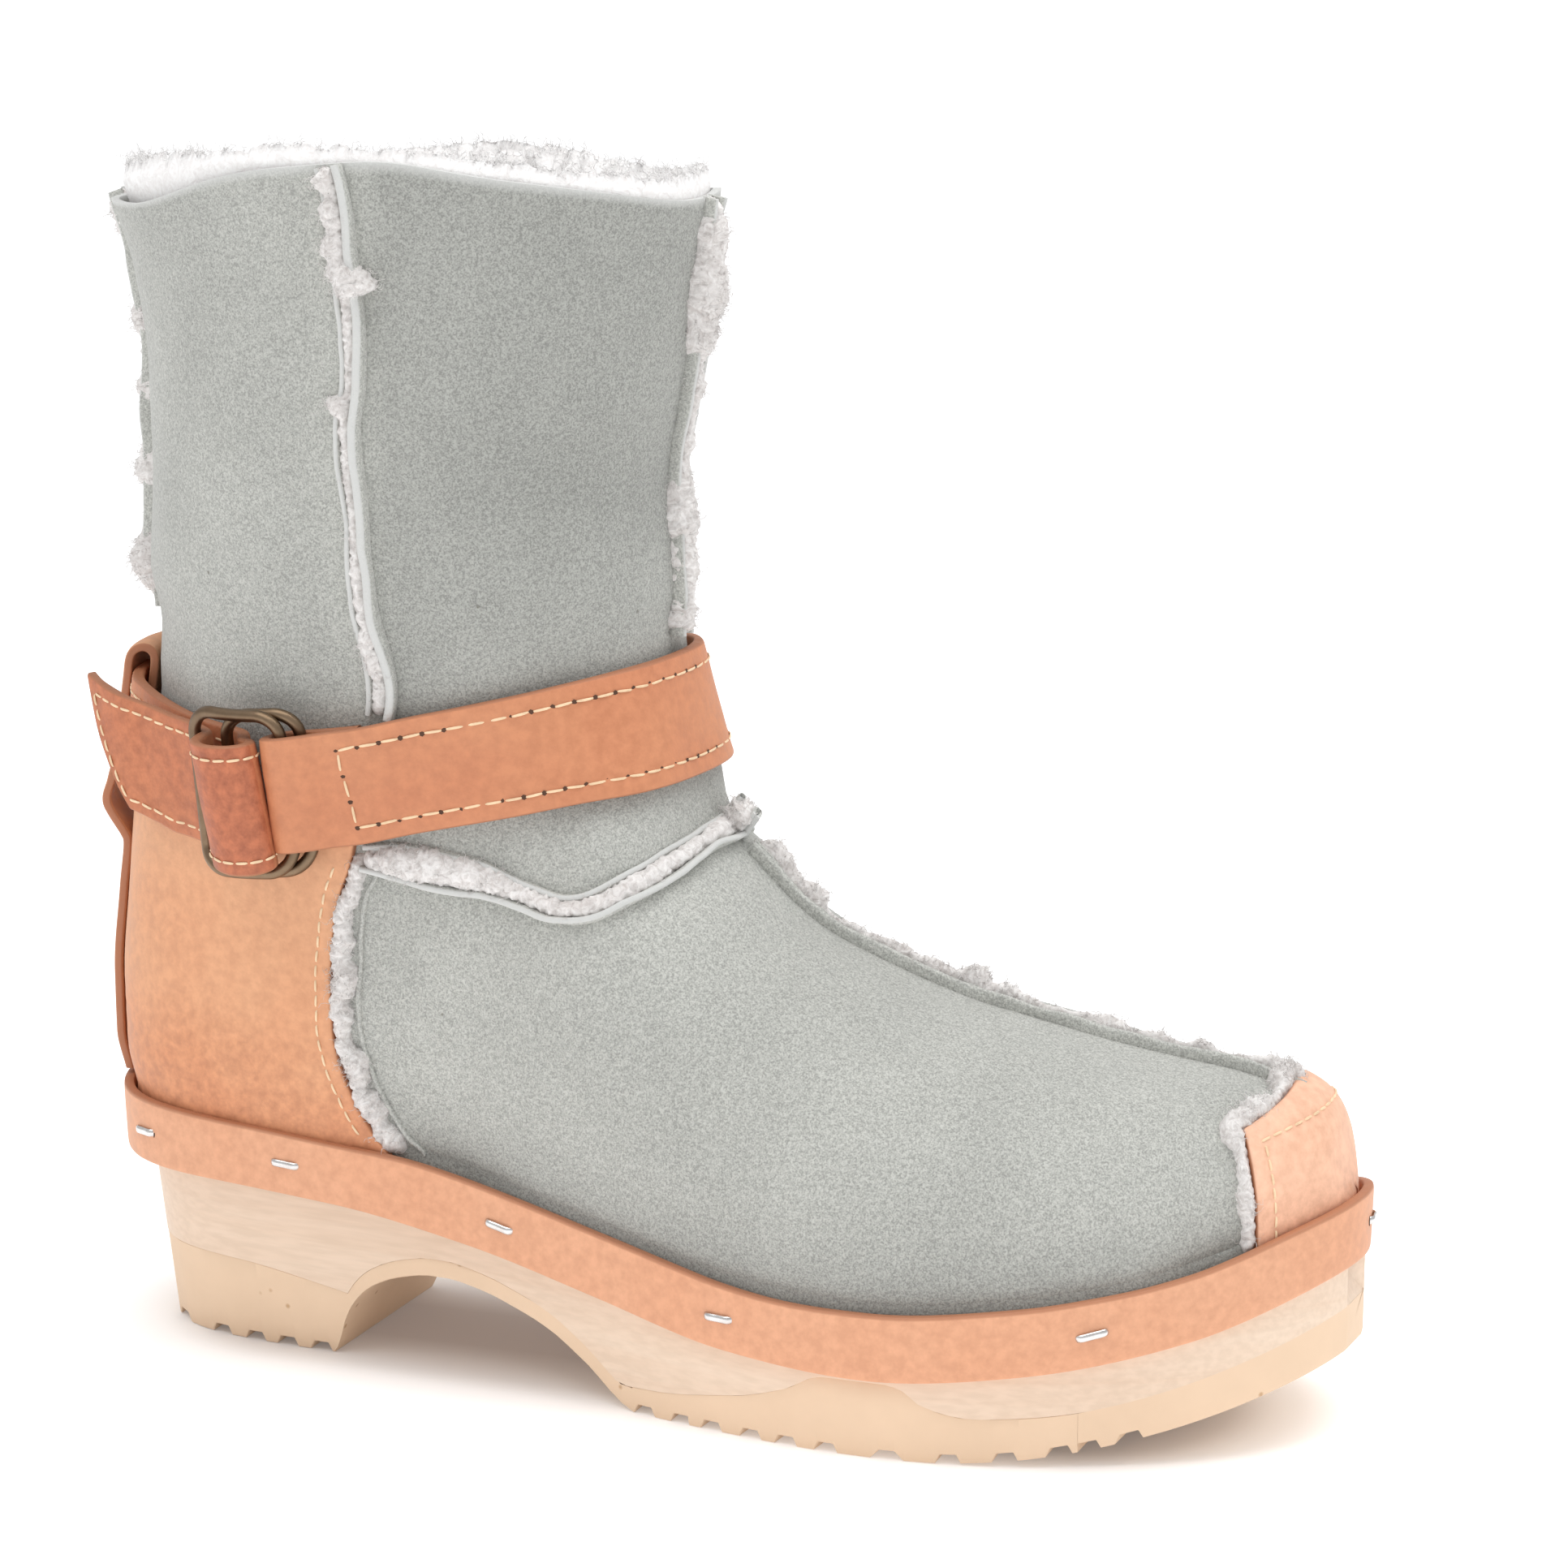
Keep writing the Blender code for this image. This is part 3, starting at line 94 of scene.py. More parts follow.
footSections = table(
    "heel front follow", (0, 0.9835, 1.0), (0.07, 0.9785, 1.0), (0.16, 0.972, 0.92), (0.25, 0.958, 0.78),
    (0.34, 0.925, 0.58), (0.43, 0.868, 0.36), (0.52, 0.795, 0.16), (0.61, 0.718, 0.04), (0.7, 0.64, 0),
    (0.79, 0.575, 0), (0.89, 0.526, 0), (1, 0.493, 0),
)
strapLine = table(
    "along height", (0, 1.05), (0.08, 1.018), (0.17, 1.004), (0.26, 1.028), (0.314, 1.054), (0.379, 1.085),
    (0.447, 1.12), (0.5, 1.133),
)


def smooth(rows, name, at):
    # a column of a table at any place, by cubic pieces that never overshoot
    x, y = rows[next(iter(rows))], rows[name]
    step = np.diff(x)
    rise = np.diff(y) / step
    slope = np.zeros(len(x))
    same = rise[1:] * rise[:-1] > 0
    slope[1:-1][same] = 2 * (rise[1:] * rise[:-1])[same] / (rise[1:] + rise[:-1])[same]
    slope[0], slope[-1] = rise[0], rise[-1]
    at = np.clip(at, x[0], x[-1])
    i = np.clip(np.searchsorted(x, at, side="right") - 1, 0, len(step) - 1)
    t = (at - x[i]) / step[i]
    bend = step[i] * t * (1 - t) * (slope[i] * (1 - t) - slope[i + 1] * t)
    return y[i] * (1 + 2 * t) * (1 - t) ** 2 + y[i + 1] * t**2 * (3 - 2 * t) + bend


def ease(value, low, high):
    # 0 at low, 1 at high, level at both ends
    t = np.clip((value - low) / (high - low), 0, 1)
    return t * t * (3 - 2 * t)


def unit(v):
    # the same directions, one long
    return v / np.maximum(np.linalg.norm(v, axis=-1, keepdims=True), 1e-12)


def resample(points, count, power=1.0):
    # the same open path with points evenly spaced along its length
    run = np.r_[0, np.cumsum(np.linalg.norm(np.diff(points, axis=0), axis=1))]
    at = np.linspace(0, 1, count) ** power * run[-1]
    return np.stack([np.interp(at, run, column) for column in points.T], axis=1)


def roundedPath(points, count):
    # an open path through the given points, by centripetal cubic pieces
    p = np.asarray(points, float)
    p = np.vstack([2 * p[0] - p[1], p, 2 * p[-1] - p[-2]])
    k = np.sqrt(np.linalg.norm(np.diff(p, axis=0), axis=1))[:, None]
    a, b, c, d = p[:-3], p[1:-2], p[2:-1], p[3:]
    ka, kb, kc = k[:-2], k[1:-1], k[2:]
    first = ((b - a) / ka - (c - a) / (ka + kb) + (c - b) / kb) * kb
    last = ((c - b) / kb - (d - b) / (kb + kc) + (d - c) / kc) * kb
    t = np.linspace(0, 1, 24, endpoint=False)[None, :, None]
    b, c, first, last = (v[:, None] for v in (b, c, first, last))
    fine = b * (2 * t**3 - 3 * t**2 + 1) + c * (3 * t**2 - 2 * t**3)
    fine = fine + first * (t**3 - 2 * t**2 + t) + last * (t**3 - t**2)
    return resample(np.vstack([fine.reshape(-1, p.shape[1]), p[-2:-1]]), count)


def hashed(cell, seed):
    # numbers from 0 to 1 for lattice cells, the same each run
    return np.modf(np.abs(np.sin(cell @ np.array([12.9898, 78.233, 37.719]) + seed * 3.17) * 43758.5453))[0]


def softNoise(points, size, seed=0):
    # lattice values blended smoothly, from -1 to 1
    p = points / size
    cell = np.floor(p)
    t = p - cell
    t = t * t * (3 - 2 * t)
    total = 0
    for dx in (0, 1):
        for dy in (0, 1):
            for dz in (0, 1):
                corner = np.array([dx, dy, dz])
                weight = np.abs(1 - corner - t).prod(-1)
                total = total + weight * hashed(cell + corner, seed)
    return 2 * total - 1


def curls(points, size, seed=0):
    # distance to the nearest of scattered points, as rounded mounds from 0 to 1
    p = points / size
    cell = np.floor(p)
    nearest = np.full(p.shape[:-1], 9.0)
    for dx in (-1, 0, 1):
        for dy in (-1, 0, 1):
            for dz in (-1, 0, 1):
                other = cell + np.array([dx, dy, dz])
                spot = other + np.stack([hashed(other, seed + k) for k in (1, 2, 3)], -1)
                nearest = np.minimum(nearest, ((p - spot) ** 2).sum(-1))
    return np.sqrt(np.clip(1 - nearest, 0, 1))


def weltBottom(x):
    # lower edge of the band: ball lift + a share of the heel's rise + a share of the toe's rise
    along = x / bootLength
    heel = (boot["heelLift"] - boot["ballLift"]) * smooth(weltLine, "heel", along)
    return boot["ballLift"] + heel + (boot["toeLift"] - boot["ballLift"]) * smooth(weltLine, "toe", along)


def weltTop(x):
    # upper edge of the band
    return weltBottom(x) + bandWidth


def tread(x):
    # underside of the sole: level, then rising to the toe with the square of the way there
    start = 0.711 * bootLength
    return boot["toeSpring"] * (np.clip(x - start, 0, None) / (bootLength - start)) ** 2


def centreLine(x):
    # the boot's middle in plan, which drifts to the medial side towards the toe
    return boot["drift"] * np.clip(x - 0.36 * bootLength, 0, None)


def smoothLoop(p, count):
    # the closed cubic spline through the given points
    n = len(p)
    h = np.linalg.norm(np.roll(p, -1, 0) - p, axis=1) ** 0.6
    i = np.arange(n)
    before, after = (i - 1) % n, (i + 1) % n
    weights = np.zeros((n, n))
    weights[i, before] = h[before]
    weights[i, i] = 2 * (h[before] + h)
    weights[i, after] = h
    bends = 6 * ((p[after] - p) / h[:, None] - (p - p[before]) / h[before][:, None])
    m = np.linalg.solve(weights, bends)
    at = np.linspace(0, n, count, endpoint=False)
    i = at.astype(int)
    j, t, size = (i + 1) % n, (at - i)[:, None], h[i][:, None]
    return p[i] * (1 - t) + p[j] * t + size**2 / 6 * (((1 - t) ** 3 - 1 + t) * m[i] + (t**3 - t) * m[j])


halfHeel, halfBall = boot["heelWidth"] / 2, boot["ballWidth"] / 2
outline = smoothLoop(np.stack([plan["along"] * bootLength, plan["heel"] * halfHeel + plan["ball"] * halfBall], 1), 900)
outlineRun = np.roll(outline, -1, 0) - np.roll(outline, 1, 0)
outlineOut = -unit(np.stack([-outlineRun[:, 1], outlineRun[:, 0]], 1))
outlineAngle = np.arctan2(
    (outline[:, 1] - centreLine(outline[:, 0])) / halfBall, (outline[:, 0] - bootLength / 2) / (bootLength / 2)
)
byAngle = np.argsort(outlineAngle)


def around(turn):
    # plan outline and its outward normals at the given angles, 0 at the toe, then by the medial side
    known = outlineAngle[byAngle]
    known = np.r_[known - 2 * math.pi, known, known + 2 * math.pi]
    line, out = (
        np.stack([np.interp(turn, known, np.tile(v[byAngle, i], 3)) for i in (0, 1)], -1) for v in (outline, outlineOut)
    )
    return line, unit(out)


def lay(x):
    # from the outside of the band in to the upper, with leather tucked between them at heel and toe
    tucked = 1 - ease(x, 0.320 * bootLength, 0.41 * bootLength) + ease(x, 0.875 * bootLength, 0.935 * bootLength)
    return boot["bandThick"] + gap + (boot["counterThick"] + gap) * tucked


halfOutline = outline - outlineOut * lay(outline[:, 0])[:, None]
toeAt, heelAt = np.argmax(halfOutline[:, 0]), np.argmin(halfOutline[:, 0])
lateralSide = np.roll(halfOutline, -heelAt, 0)[: (toeAt - heelAt) % 900 + 1]
medialSide = np.roll(halfOutline, -toeAt, 0)[: (heelAt - toeAt) % 900 + 1][::-1]


def footMeasure(x, y, z):
    # below zero inside the foot: a dome over the plan outline, as high as its crown
    base = weltTop(x)
    rise = boot["ankleHeight"] - boot["ballLift"] - bandWidth
    high = np.maximum(rise * smooth(crown, "rise", x / bootLength), 1e-5)
    up = np.clip((z - base) / high, 0, None)
    lean = (smooth(shaft, "back", z / boot["height"]) - shaft["back"][0]) * boot["collarLength"]
    along = x - lean * (1 - ease(x, 0.05 * bootLength, 0.40 * bootLength))
    swell = 4 * np.clip(up, 0, 1) * (1 - np.clip(up, 0, 1)) * boot["ballWidth"]
    left = np.interp(along, lateralSide[:, 0], lateralSide[:, 1])
    right = np.interp(along, medialSide[:, 0], medialSide[:, 1])
    inside = (along > lateralSide[0, 0]) & (along < lateralSide[-1, 0])
    off = y - centreLine(x)
    lateral = centreLine(x) - left + swell * smooth(fullness, "lateral", x / bootLength)
    medial = right - centreLine(x) + swell * smooth(fullness, "medial", x / bootLength)
    half = np.maximum(np.where(inside, np.where(off < 0, lateral, medial), 1e-5), 1e-5)
    beyond = np.maximum(lateralSide[0, 0] - along, along - lateralSide[-1, 0])
    dome = ((np.abs(off) / half) ** 2.4 + up**2.4) ** (1 / 2.4) * half - half
    return np.where(inside, dome, np.maximum(beyond, 0) + np.abs(off) + 1e-5)


def shaftMeasure(x, y, z):
    # below zero inside the shaft: an oval at each height
    level = z / boot["height"]
    back, front = (smooth(shaft, side, level) * boot["collarLength"] for side in ("back", "front"))
    half = smooth(shaft, "half", level) * boot["collarWidth"]
    return (np.sqrt(((x - (back + front) / 2) / ((front - back) / 2)) ** 2 + (y / half) ** 2) - 1) * half


def skinMeasure(x, y, z):
    # below zero inside the upper's outer face, foot and shaft running softly into each other
    foot, leg = footMeasure(x, y, z), shaftMeasure(x, y, z)
    blend = 0.008
    share = np.clip(0.5 + 0.5 * (leg - foot) / blend, 0, 1)
    return leg * (1 - share) + foot * share - blend * share * (1 - share)


def rayOut(start, way, far=0.3):
    # where rays from inside the upper leave it, by halving
    start, way = np.broadcast_arrays(np.asarray(start, float), np.asarray(way, float))
    low, high = np.zeros(start.shape[:-1]), np.full(start.shape[:-1], far)
    for _ in range(22):
        t = (low + high) / 2
        within = skinMeasure(*np.moveaxis(start + way * t[..., None], -1, 0)) < 0
        low, high = np.where(within, t, low), np.where(within, high, t)
    return start + way * ((low + high) / 2)[..., None]


def skinOut(p):
    # outward normals of the upper, from the slope of its measure
    d = 0.0006
    after, before = ([skinMeasure(*np.moveaxis(p + way * step, -1, 0)) for step in np.eye(3) * d] for way in (1, -1))
    slopes = [high - low for high, low in zip(after, before)]
    return unit(np.stack(slopes, -1))


folds = {"broad": 0.0007, "small": 0.00022, "ankle": 0.0009, "pinch": 0.0007}


def foldDepth(p):
    # how far the soft upper swells or sinks: broad and small waves, ripples over the instep, a pinch at the band
    x, y, z = np.moveaxis(p, -1, 0)
    free = ease(z, weltTop(x), weltTop(x) + 0.012)
    waves = folds["broad"] * softNoise(p, 0.045, 3) + folds["small"] * softNoise(p, 0.013, 5)
    instep = np.exp(-(((x - 0.128) / 0.022) ** 2) - ((z - 0.112) / 0.020) ** 2)
    ripples = folds["ankle"] * instep * np.cos((z - 0.35 * x) / 0.0042 + 2 * softNoise(p, 0.03, 9))
    pinch = folds["pinch"] * np.exp(-(((z - weltTop(x) - 0.0004) / 0.0022) ** 2))
    strapped = np.exp(-(((z - strapMiddle(x)) / 0.0130) ** 6)) * (1 - ease(x, 0.118, 0.135))
    return free * (waves + ripples) * (1 - strapped) - 0.0004 * strapped - pinch


def strapMiddle(x):
    # height of the strap's middle where it lies on the boot
    return boot["ankleHeight"] * smooth(strapLine, "height", x / bootLength)


def onSkin(p, depth=0.0):
    # points of the plain form moved to the folded upper, and further out by a depth
    out = skinOut(p)
    return p + out * (foldDepth(p) + depth)[..., None], out


def sidePoint(x, z, side=-1):
    # the place on the upper's side that is seen level with (x, z)
    x, z = np.broadcast_arrays(np.asarray(x, float), np.asarray(z, float))
    start = np.stack([x, centreLine(x) * ease(x, 0.10, 0.14), z], -1)
    return rayOut(start, np.array([0.0, side, 0.0]))


# Making meshes
def gridFaces(rows, columns, roundWay=False, start=0):
    # four-sided faces of a grid of points, joined round its rows if asked
    r = np.arange(rows - 1)[:, None] * columns + start
    c = np.arange(columns if roundWay else columns - 1)[None]
    a, b = r + c, r + (c + 1) % columns
    return np.stack([a, b, b + columns, a + columns], -1).reshape(-1, 4)


def fan(middle, ring):
    # triangles from one point to a closed ring of points
    return np.stack([np.full(len(ring), middle), ring, np.roll(ring, -1)], 1)


def makePiece(name, points, faces, finish, replaced=(), values=None, sharp=50):
    # a closed mesh from arrays of points and of faces with three or four corners, turned outwards as a whole
    blocks = [np.asarray(block, np.int64) for block in (faces if isinstance(faces, list) else [faces])]
    points = np.asarray(points, float).reshape(-1, 3)
    volume = 0.0
    for block in blocks:
        for k in range(1, block.shape[1] - 1):
            a, b, c = points[block[:, 0]], points[block[:, k]], points[block[:, k + 1]]
            volume += (a * np.cross(b, c)).sum()
    if volume < 0:
        blocks = [block[:, ::-1] for block in blocks]
    mesh = bpy.data.meshes.new(name)
    mesh.vertices.add(len(points))
    mesh.vertices.foreach_set("co", (points + ownFrame).astype(np.float32).ravel())
    flat = np.concatenate([block.ravel() for block in blocks]).astype(np.int32)
    sizes = np.concatenate([np.full(len(block), block.shape[1]) for block in blocks])
    mesh.loops.add(len(flat))
    mesh.loops.foreach_set("vertex_index", flat)
    mesh.polygons.add(len(sizes))
    mesh.polygons.foreach_set("loop_start", np.r_[0, np.cumsum(sizes)[:-1]].astype(np.int32))
    mesh.update(calc_edges=True)
    mesh.validate()
    for key, value in (values or {}).items():
        mesh.attributes.new(key, "FLOAT", "POINT").data.foreach_set("value", np.asarray(value, np.float32).ravel())
    mesh.shade_smooth()
    mesh.set_sharp_from_angle(angle=math.radians(sharp))
    mesh.materials.append(finish)
    piece = bpy.data.objects.new(name, mesh)
    bpy.context.scene.collection.objects.link(piece)
    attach(piece, "root")
    if replaced:
        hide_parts(*replaced)
    return piece


def shell(grids, roundWay):
    # faces that join two grids of one size into a closed wall: the second lies over the first
    rows, columns = grids[0].shape[:2]
    far = rows * columns
    faces = [gridFaces(rows, columns, roundWay), gridFaces(rows, columns, roundWay, far)[:, ::-1]]
    if roundWay:
        for row in (0, rows - 1):
            ring = row * columns + np.arange(columns)
            side = np.stack([ring, np.roll(ring, -1), np.roll(ring, -1) + far, ring + far], 1)
            faces.append(side if row else side[:, ::-1])
    else:
        index = np.arange(far).reshape(rows, columns)
        rim = np.concatenate([index[0, :-1], index[:-1, -1], index[-1, :0:-1], index[:0:-1, 0]])
        after = np.roll(rim, -1)
        faces.append(np.stack([after, rim, rim + far, after + far], 1))
    return np.concatenate([g.reshape(-1, 3) for g in grids]), np.concatenate(faces)


def capped(grid):
    # a tube whose rings are a grid's rows, closed at both ends by fans from their middles
    rows, columns = grid.shape[:2]
    ring = np.arange(columns)
    points = np.vstack([grid.reshape(-1, 3), grid[[0, -1]].mean(1)])
    caps = np.vstack([fan(rows * columns, ring), fan(rows * columns + 1, (rows - 1) * columns + ring)[:, ::-1]])
    return points, [gridFaces(rows, columns, True)[:, ::-1], caps]


def loopFaces(rows, columns):
    # four-sided faces of a grid whose rows and columns both close on themselves
    a = np.arange(rows * columns).reshape(rows, columns)
    b = np.roll(a, -1, 1)
    return np.stack([a, b, np.roll(b, -1, 0), np.roll(a, -1, 0)], -1).reshape(-1, 4)


def sweep(base, side, up, across, height):
    # a closed profile carried along a path: across and height are arrays of path points by profile points
    return capped(base[:, None] + side[:, None] * across[..., None] + up[:, None] * height[..., None])


def joined(parts):
    # several meshes as one: points and blocks of faces
    points, blocks, start = [], [], 0
    for p, faces in parts:
        blocks += [np.asarray(f) + start for f in (faces if isinstance(faces, list) else [faces])]
        points.append(np.asarray(p).reshape(-1, 3))
        start += len(points[-1])
    return np.vstack(points), blocks


# Materials
def nodeIn(tree, kind, links=None, **settings):
    # a node with its settings, sockets given by name or number as values or as other sockets
    node = tree.nodes.new(kind)
    for key, value in settings.items():
        setattr(node, key, value)
    for key, value in (links or {}).items():
        if isinstance(value, bpy.types.NodeSocket):
            tree.links.new(value, node.inputs[key])
        else:
            node.inputs[key].default_value = value
    return node


def newGroup(name, ins, outs):
    # a node group with its inputs and outputs: its tree, and the sockets to read and to fill
    group = bpy.data.node_groups.new(name, "ShaderNodeTree")
    kinds = {"c": "NodeSocketColor", "f": "NodeSocketFloat", "v": "NodeSocketVector"}
    for label, kind in ins:
        group.interface.new_socket(label, in_out="INPUT", socket_type=kinds[kind])
    for label, kind in outs:
        group.interface.new_socket(label, in_out="OUTPUT", socket_type=kinds[kind])
    return group, group.nodes.new("NodeGroupInput").outputs, group.nodes.new("NodeGroupOutput").inputs


def ramp(tree, value, low, high, outLow=0.0, outHigh=1.0):
    # a value spread between two limits, held inside them
    node = nodeIn(tree, "ShaderNodeMapRange", {0: value, 1: low, 2: high, 3: outLow, 4: outHigh})
    return node.outputs[0]


def mixed(tree, share, first, second, kind="MIX"):
    # two colours mixed by a share, each given as a value or a socket
    node = nodeIn(tree, "ShaderNodeMix", data_type="RGBA", blend_type=kind)
    for key, value in ((0, share), (6, first), (7, second)):
        if isinstance(value, bpy.types.NodeSocket):
            tree.links.new(value, node.inputs[key])
        else:
            node.inputs[key].default_value = value
    return node.outputs[2]


def maths(tree, operation, first, second=0.0):
    # one sum, product or other step between two values or sockets
    return nodeIn(tree, "ShaderNodeMath", {0: first, 1: second}, operation=operation).outputs[0]


def noise(tree, vector, scale, detail=3.0, rough=0.5, distort=0.0):
    # Blender's noise at a scale in waves to the metre
    made = nodeIn(tree, "ShaderNodeTexNoise", {"Vector": vector, "Scale": scale, "Detail": detail, "Roughness": rough})
    made.inputs["Distortion"].default_value = distort
    return made.outputs["Fac"]


colourHeight = [("Colour", "c"), ("Height", "f")]


def suedeGroup():
    # short brushed nap: fine bright speckles over a darker ground, soft clouds and a few dark specks, and painted shade
    # from its shade input
    g, i, o = newGroup("brushedNap", [("Light", "c"), ("Dark", "c"), ("Vector", "v"), ("PaintedShade", "f")], colourHeight)
    cloud = noise(g, i["Vector"], 26.0, 3.0, 0.5, 0.3)
    grain = noise(g, i["Vector"], 3000.0, 2.0, 0.6)
    middle = noise(g, i["Vector"], 1500.0, 2.0, 0.5, 0.4)
    # painted shade: the shade input adds to the clouds' share of the dark colour
    tone = mixed(g, maths(g, "ADD", ramp(g, cloud, 0.30, 0.72, 0.0, 0.30), i["PaintedShade"]), i["Light"], i["Dark"])
    fine = maths(g, "ADD", maths(g, "MULTIPLY", grain, 0.55), maths(g, "MULTIPLY", middle, 0.45))
    dark = mixed(g, 1.0, tone, (0.72, 0.72, 0.72, 1), "MULTIPLY")
    pale = mixed(g, 1.0, tone, (1.24, 1.24, 1.24, 1), "MULTIPLY")
    napped = mixed(g, ramp(g, fine, 0.38, 0.62), dark, pale)
    specks = nodeIn(g, "ShaderNodeTexVoronoi", {"Vector": i["Vector"], "Scale": 75.0}).outputs["Distance"]
    speckled = mixed(g, 1.0, napped, (0.6, 0.58, 0.55, 1), "MULTIPLY")
    g.links.new(mixed(g, ramp(g, specks, 0.02, 0.035), speckled, napped), o["Colour"])
    g.links.new(fine, o["Height"])
    return g


def leatherGroup():
    # vegetable-tanned leather: cloudy tone, fine pores, and a deeper tint where asked
    g, i, o = newGroup(
        "tanLeather", [("Pale", "c"), ("Deep", "c"), ("Vector", "v"), ("Stain", "f")],
        [*colourHeight, ("Roughness", "f")],
    )
    cloud = noise(g, i["Vector"], 32.0, 4.0, 0.5, 0.5)
    pores = nodeIn(g, "ShaderNodeTexVoronoi", {"Vector": i["Vector"], "Scale": 1500.0}).outputs["Distance"]
    fibre = noise(g, i["Vector"], 420.0, 4.0, 0.6)
    share = maths(g, "ADD", ramp(g, cloud, 0.35, 0.75, 0.0, 0.40), i["Stain"])
    tone = mixed(g, share, i["Pale"], i["Deep"])
    darkest = mixed(g, i["Stain"], (0.90, 0.86, 0.83, 1), (0.66, 0.58, 0.54, 1))
    speck = mixed(g, ramp(g, fibre, 0.34, 0.66), darkest, (1.05, 1.05, 1.05, 1))
    g.links.new(mixed(g, 1.0, tone, speck, "MULTIPLY"), o["Colour"])
    depth = maths(g, "ADD", maths(g, "MULTIPLY", pores, 0.5), maths(g, "MULTIPLY", fibre, 0.6))
    g.links.new(depth, o["Height"])
    g.links.new(ramp(g, fibre, 0.3, 0.7, 0.48, 0.66), o["Roughness"])
    return g


def woodGroup():
    # pale close-grained wood: faint level bands along the boot, with fine dark flecks
    g, i, o = newGroup("palePoplar", [("Light", "c"), ("Dark", "c"), ("Vector", "v")], colourHeight)
    stretched = nodeIn(g, "ShaderNodeMapping", {"Vector": i["Vector"], "Scale": (0.5, 1.6, 14.0)})
    rings = noise(g, stretched.outputs[0], 14.0, 4.0, 0.55, 0.8)
    flecks = nodeIn(g, "ShaderNodeMapping", {"Vector": i["Vector"], "Scale": (0.10, 1.0, 1.0)})
    fine = noise(g, flecks.outputs[0], 900.0, 2.0, 0.5)
    tone = mixed(g, ramp(g, rings, 0.34, 0.68), i["Light"], i["Dark"])
    grain = mixed(g, ramp(g, fine, 0.35, 0.65), (0.955, 0.945, 0.93, 1), (1.03, 1.03, 1.03, 1))
    g.links.new(mixed(g, 1.0, tone, grain, "MULTIPLY"), o["Colour"])
    g.links.new(maths(g, "ADD", rings, maths(g, "MULTIPLY", fine, 0.3)), o["Height"])
    return g


def rubberGroup():
    # matt moulded rubber: an even tone with small dark specks and pits
    g, i, o = newGroup("mouldedRubber", [("Colour", "c"), ("Vector", "v")], colourHeight)
    specks = nodeIn(g, "ShaderNodeTexVoronoi", {"Vector": i["Vector"], "Scale": 110.0}).outputs["Distance"]
    pit = ramp(g, specks, 0.035, 0.075)
    cloud = noise(g, i["Vector"], 60.0, 4.0, 0.6)
    tone = mixed(g, ramp(g, cloud, 0.3, 0.7), (0.955, 0.95, 0.94, 1), (1.02, 1.02, 1.02, 1))
    coloured = mixed(g, 1.0, i["Colour"], tone, "MULTIPLY")
    dark = mixed(g, 1.0, coloured, (0.72, 0.62, 0.5, 1), "MULTIPLY")
    g.links.new(mixed(g, pit, dark, coloured), o["Colour"])
    g.links.new(maths(g, "ADD", pit, maths(g, "MULTIPLY", cloud, 0.2)), o["Height"])
    return g


def fleeceGroup():
    # matted wool: fine curls, shaded in their hollows
    g, i, o = newGroup("mattedWool", [("Light", "c"), ("Dark", "c"), ("Vector", "v"), ("Hollow", "f")], colourHeight)
    curl = noise(g, i["Vector"], 520.0, 5.0, 0.65, 1.6)
    cloud = noise(g, i["Vector"], 90.0, 3.0, 0.5)
    share = maths(g, "MULTIPLY", ramp(g, curl, 0.30, 0.62), ramp(g, cloud, 0.3, 0.65, 0.72, 1.0))
    share = maths(g, "MULTIPLY", share, i["Hollow"])
    g.links.new(mixed(g, share, i["Dark"], i["Light"]), o["Colour"])
    g.links.new(curl, o["Height"])
    return g


groups = {
    "suede": suedeGroup(), "leather": leatherGroup(), "wood": woodGroup(), "rubber": rubberGroup(),
    "fleece": fleeceGroup(),
}


def newMaterial(name, group, ins, bump, roughness, **sockets):
    # a material from one group: its colours, its bump's distance and strength, and constant sockets by name
    made = bpy.data.materials.new(name)
    made.use_nodes = True
    tree = made.node_tree
    shader = tree.nodes["Principled BSDF"]
    place = nodeIn(tree, "ShaderNodeTexCoord").outputs["Object"]
    look = nodeIn(tree, "ShaderNodeGroup", node_tree=groups[group])
    tree.links.new(place, look.inputs["Vector"])
    for key, value in ins.items():
        look.inputs[key].default_value = value if isinstance(value, float) else (*value, 1)
    shader.inputs["Roughness"].default_value = roughness
    for key, value in sockets.items():
        shader.inputs[key.replace("_", " ")].default_value = value
    colour = look.outputs["Colour"]
    tree.links.new(colour, shader.inputs["Base Color"])
    height = nodeIn(
        tree, "ShaderNodeBump", {"Height": look.outputs["Height"], "Strength": bump[1], "Distance": bump[0]}
    )
    tree.links.new(height.outputs[0], shader.inputs["Normal"])
    return made, tree, shader, look


def readInto(made, name, socket):
    # a piece's own attribute, fed to an input of the group
    _, tree, _, look = made
    tree.links.new(nodeIn(tree, "ShaderNodeAttribute", attribute_name=name).outputs["Fac"], look.inputs[socket])


def edgeTint(made, name, tint, low=0.15, high=0.85):
    # a raw edge in its own colour, where the piece's attribute says so
    _, tree, shader, look = made
    value = nodeIn(tree, "ShaderNodeAttribute", attribute_name=name).outputs["Fac"]
    colour = shader.inputs["Base Color"].links[0].from_socket
    tree.links.new(mixed(tree, ramp(tree, value, low, high), colour, (*tint, 1)), shader.inputs["Base Color"])
    return made


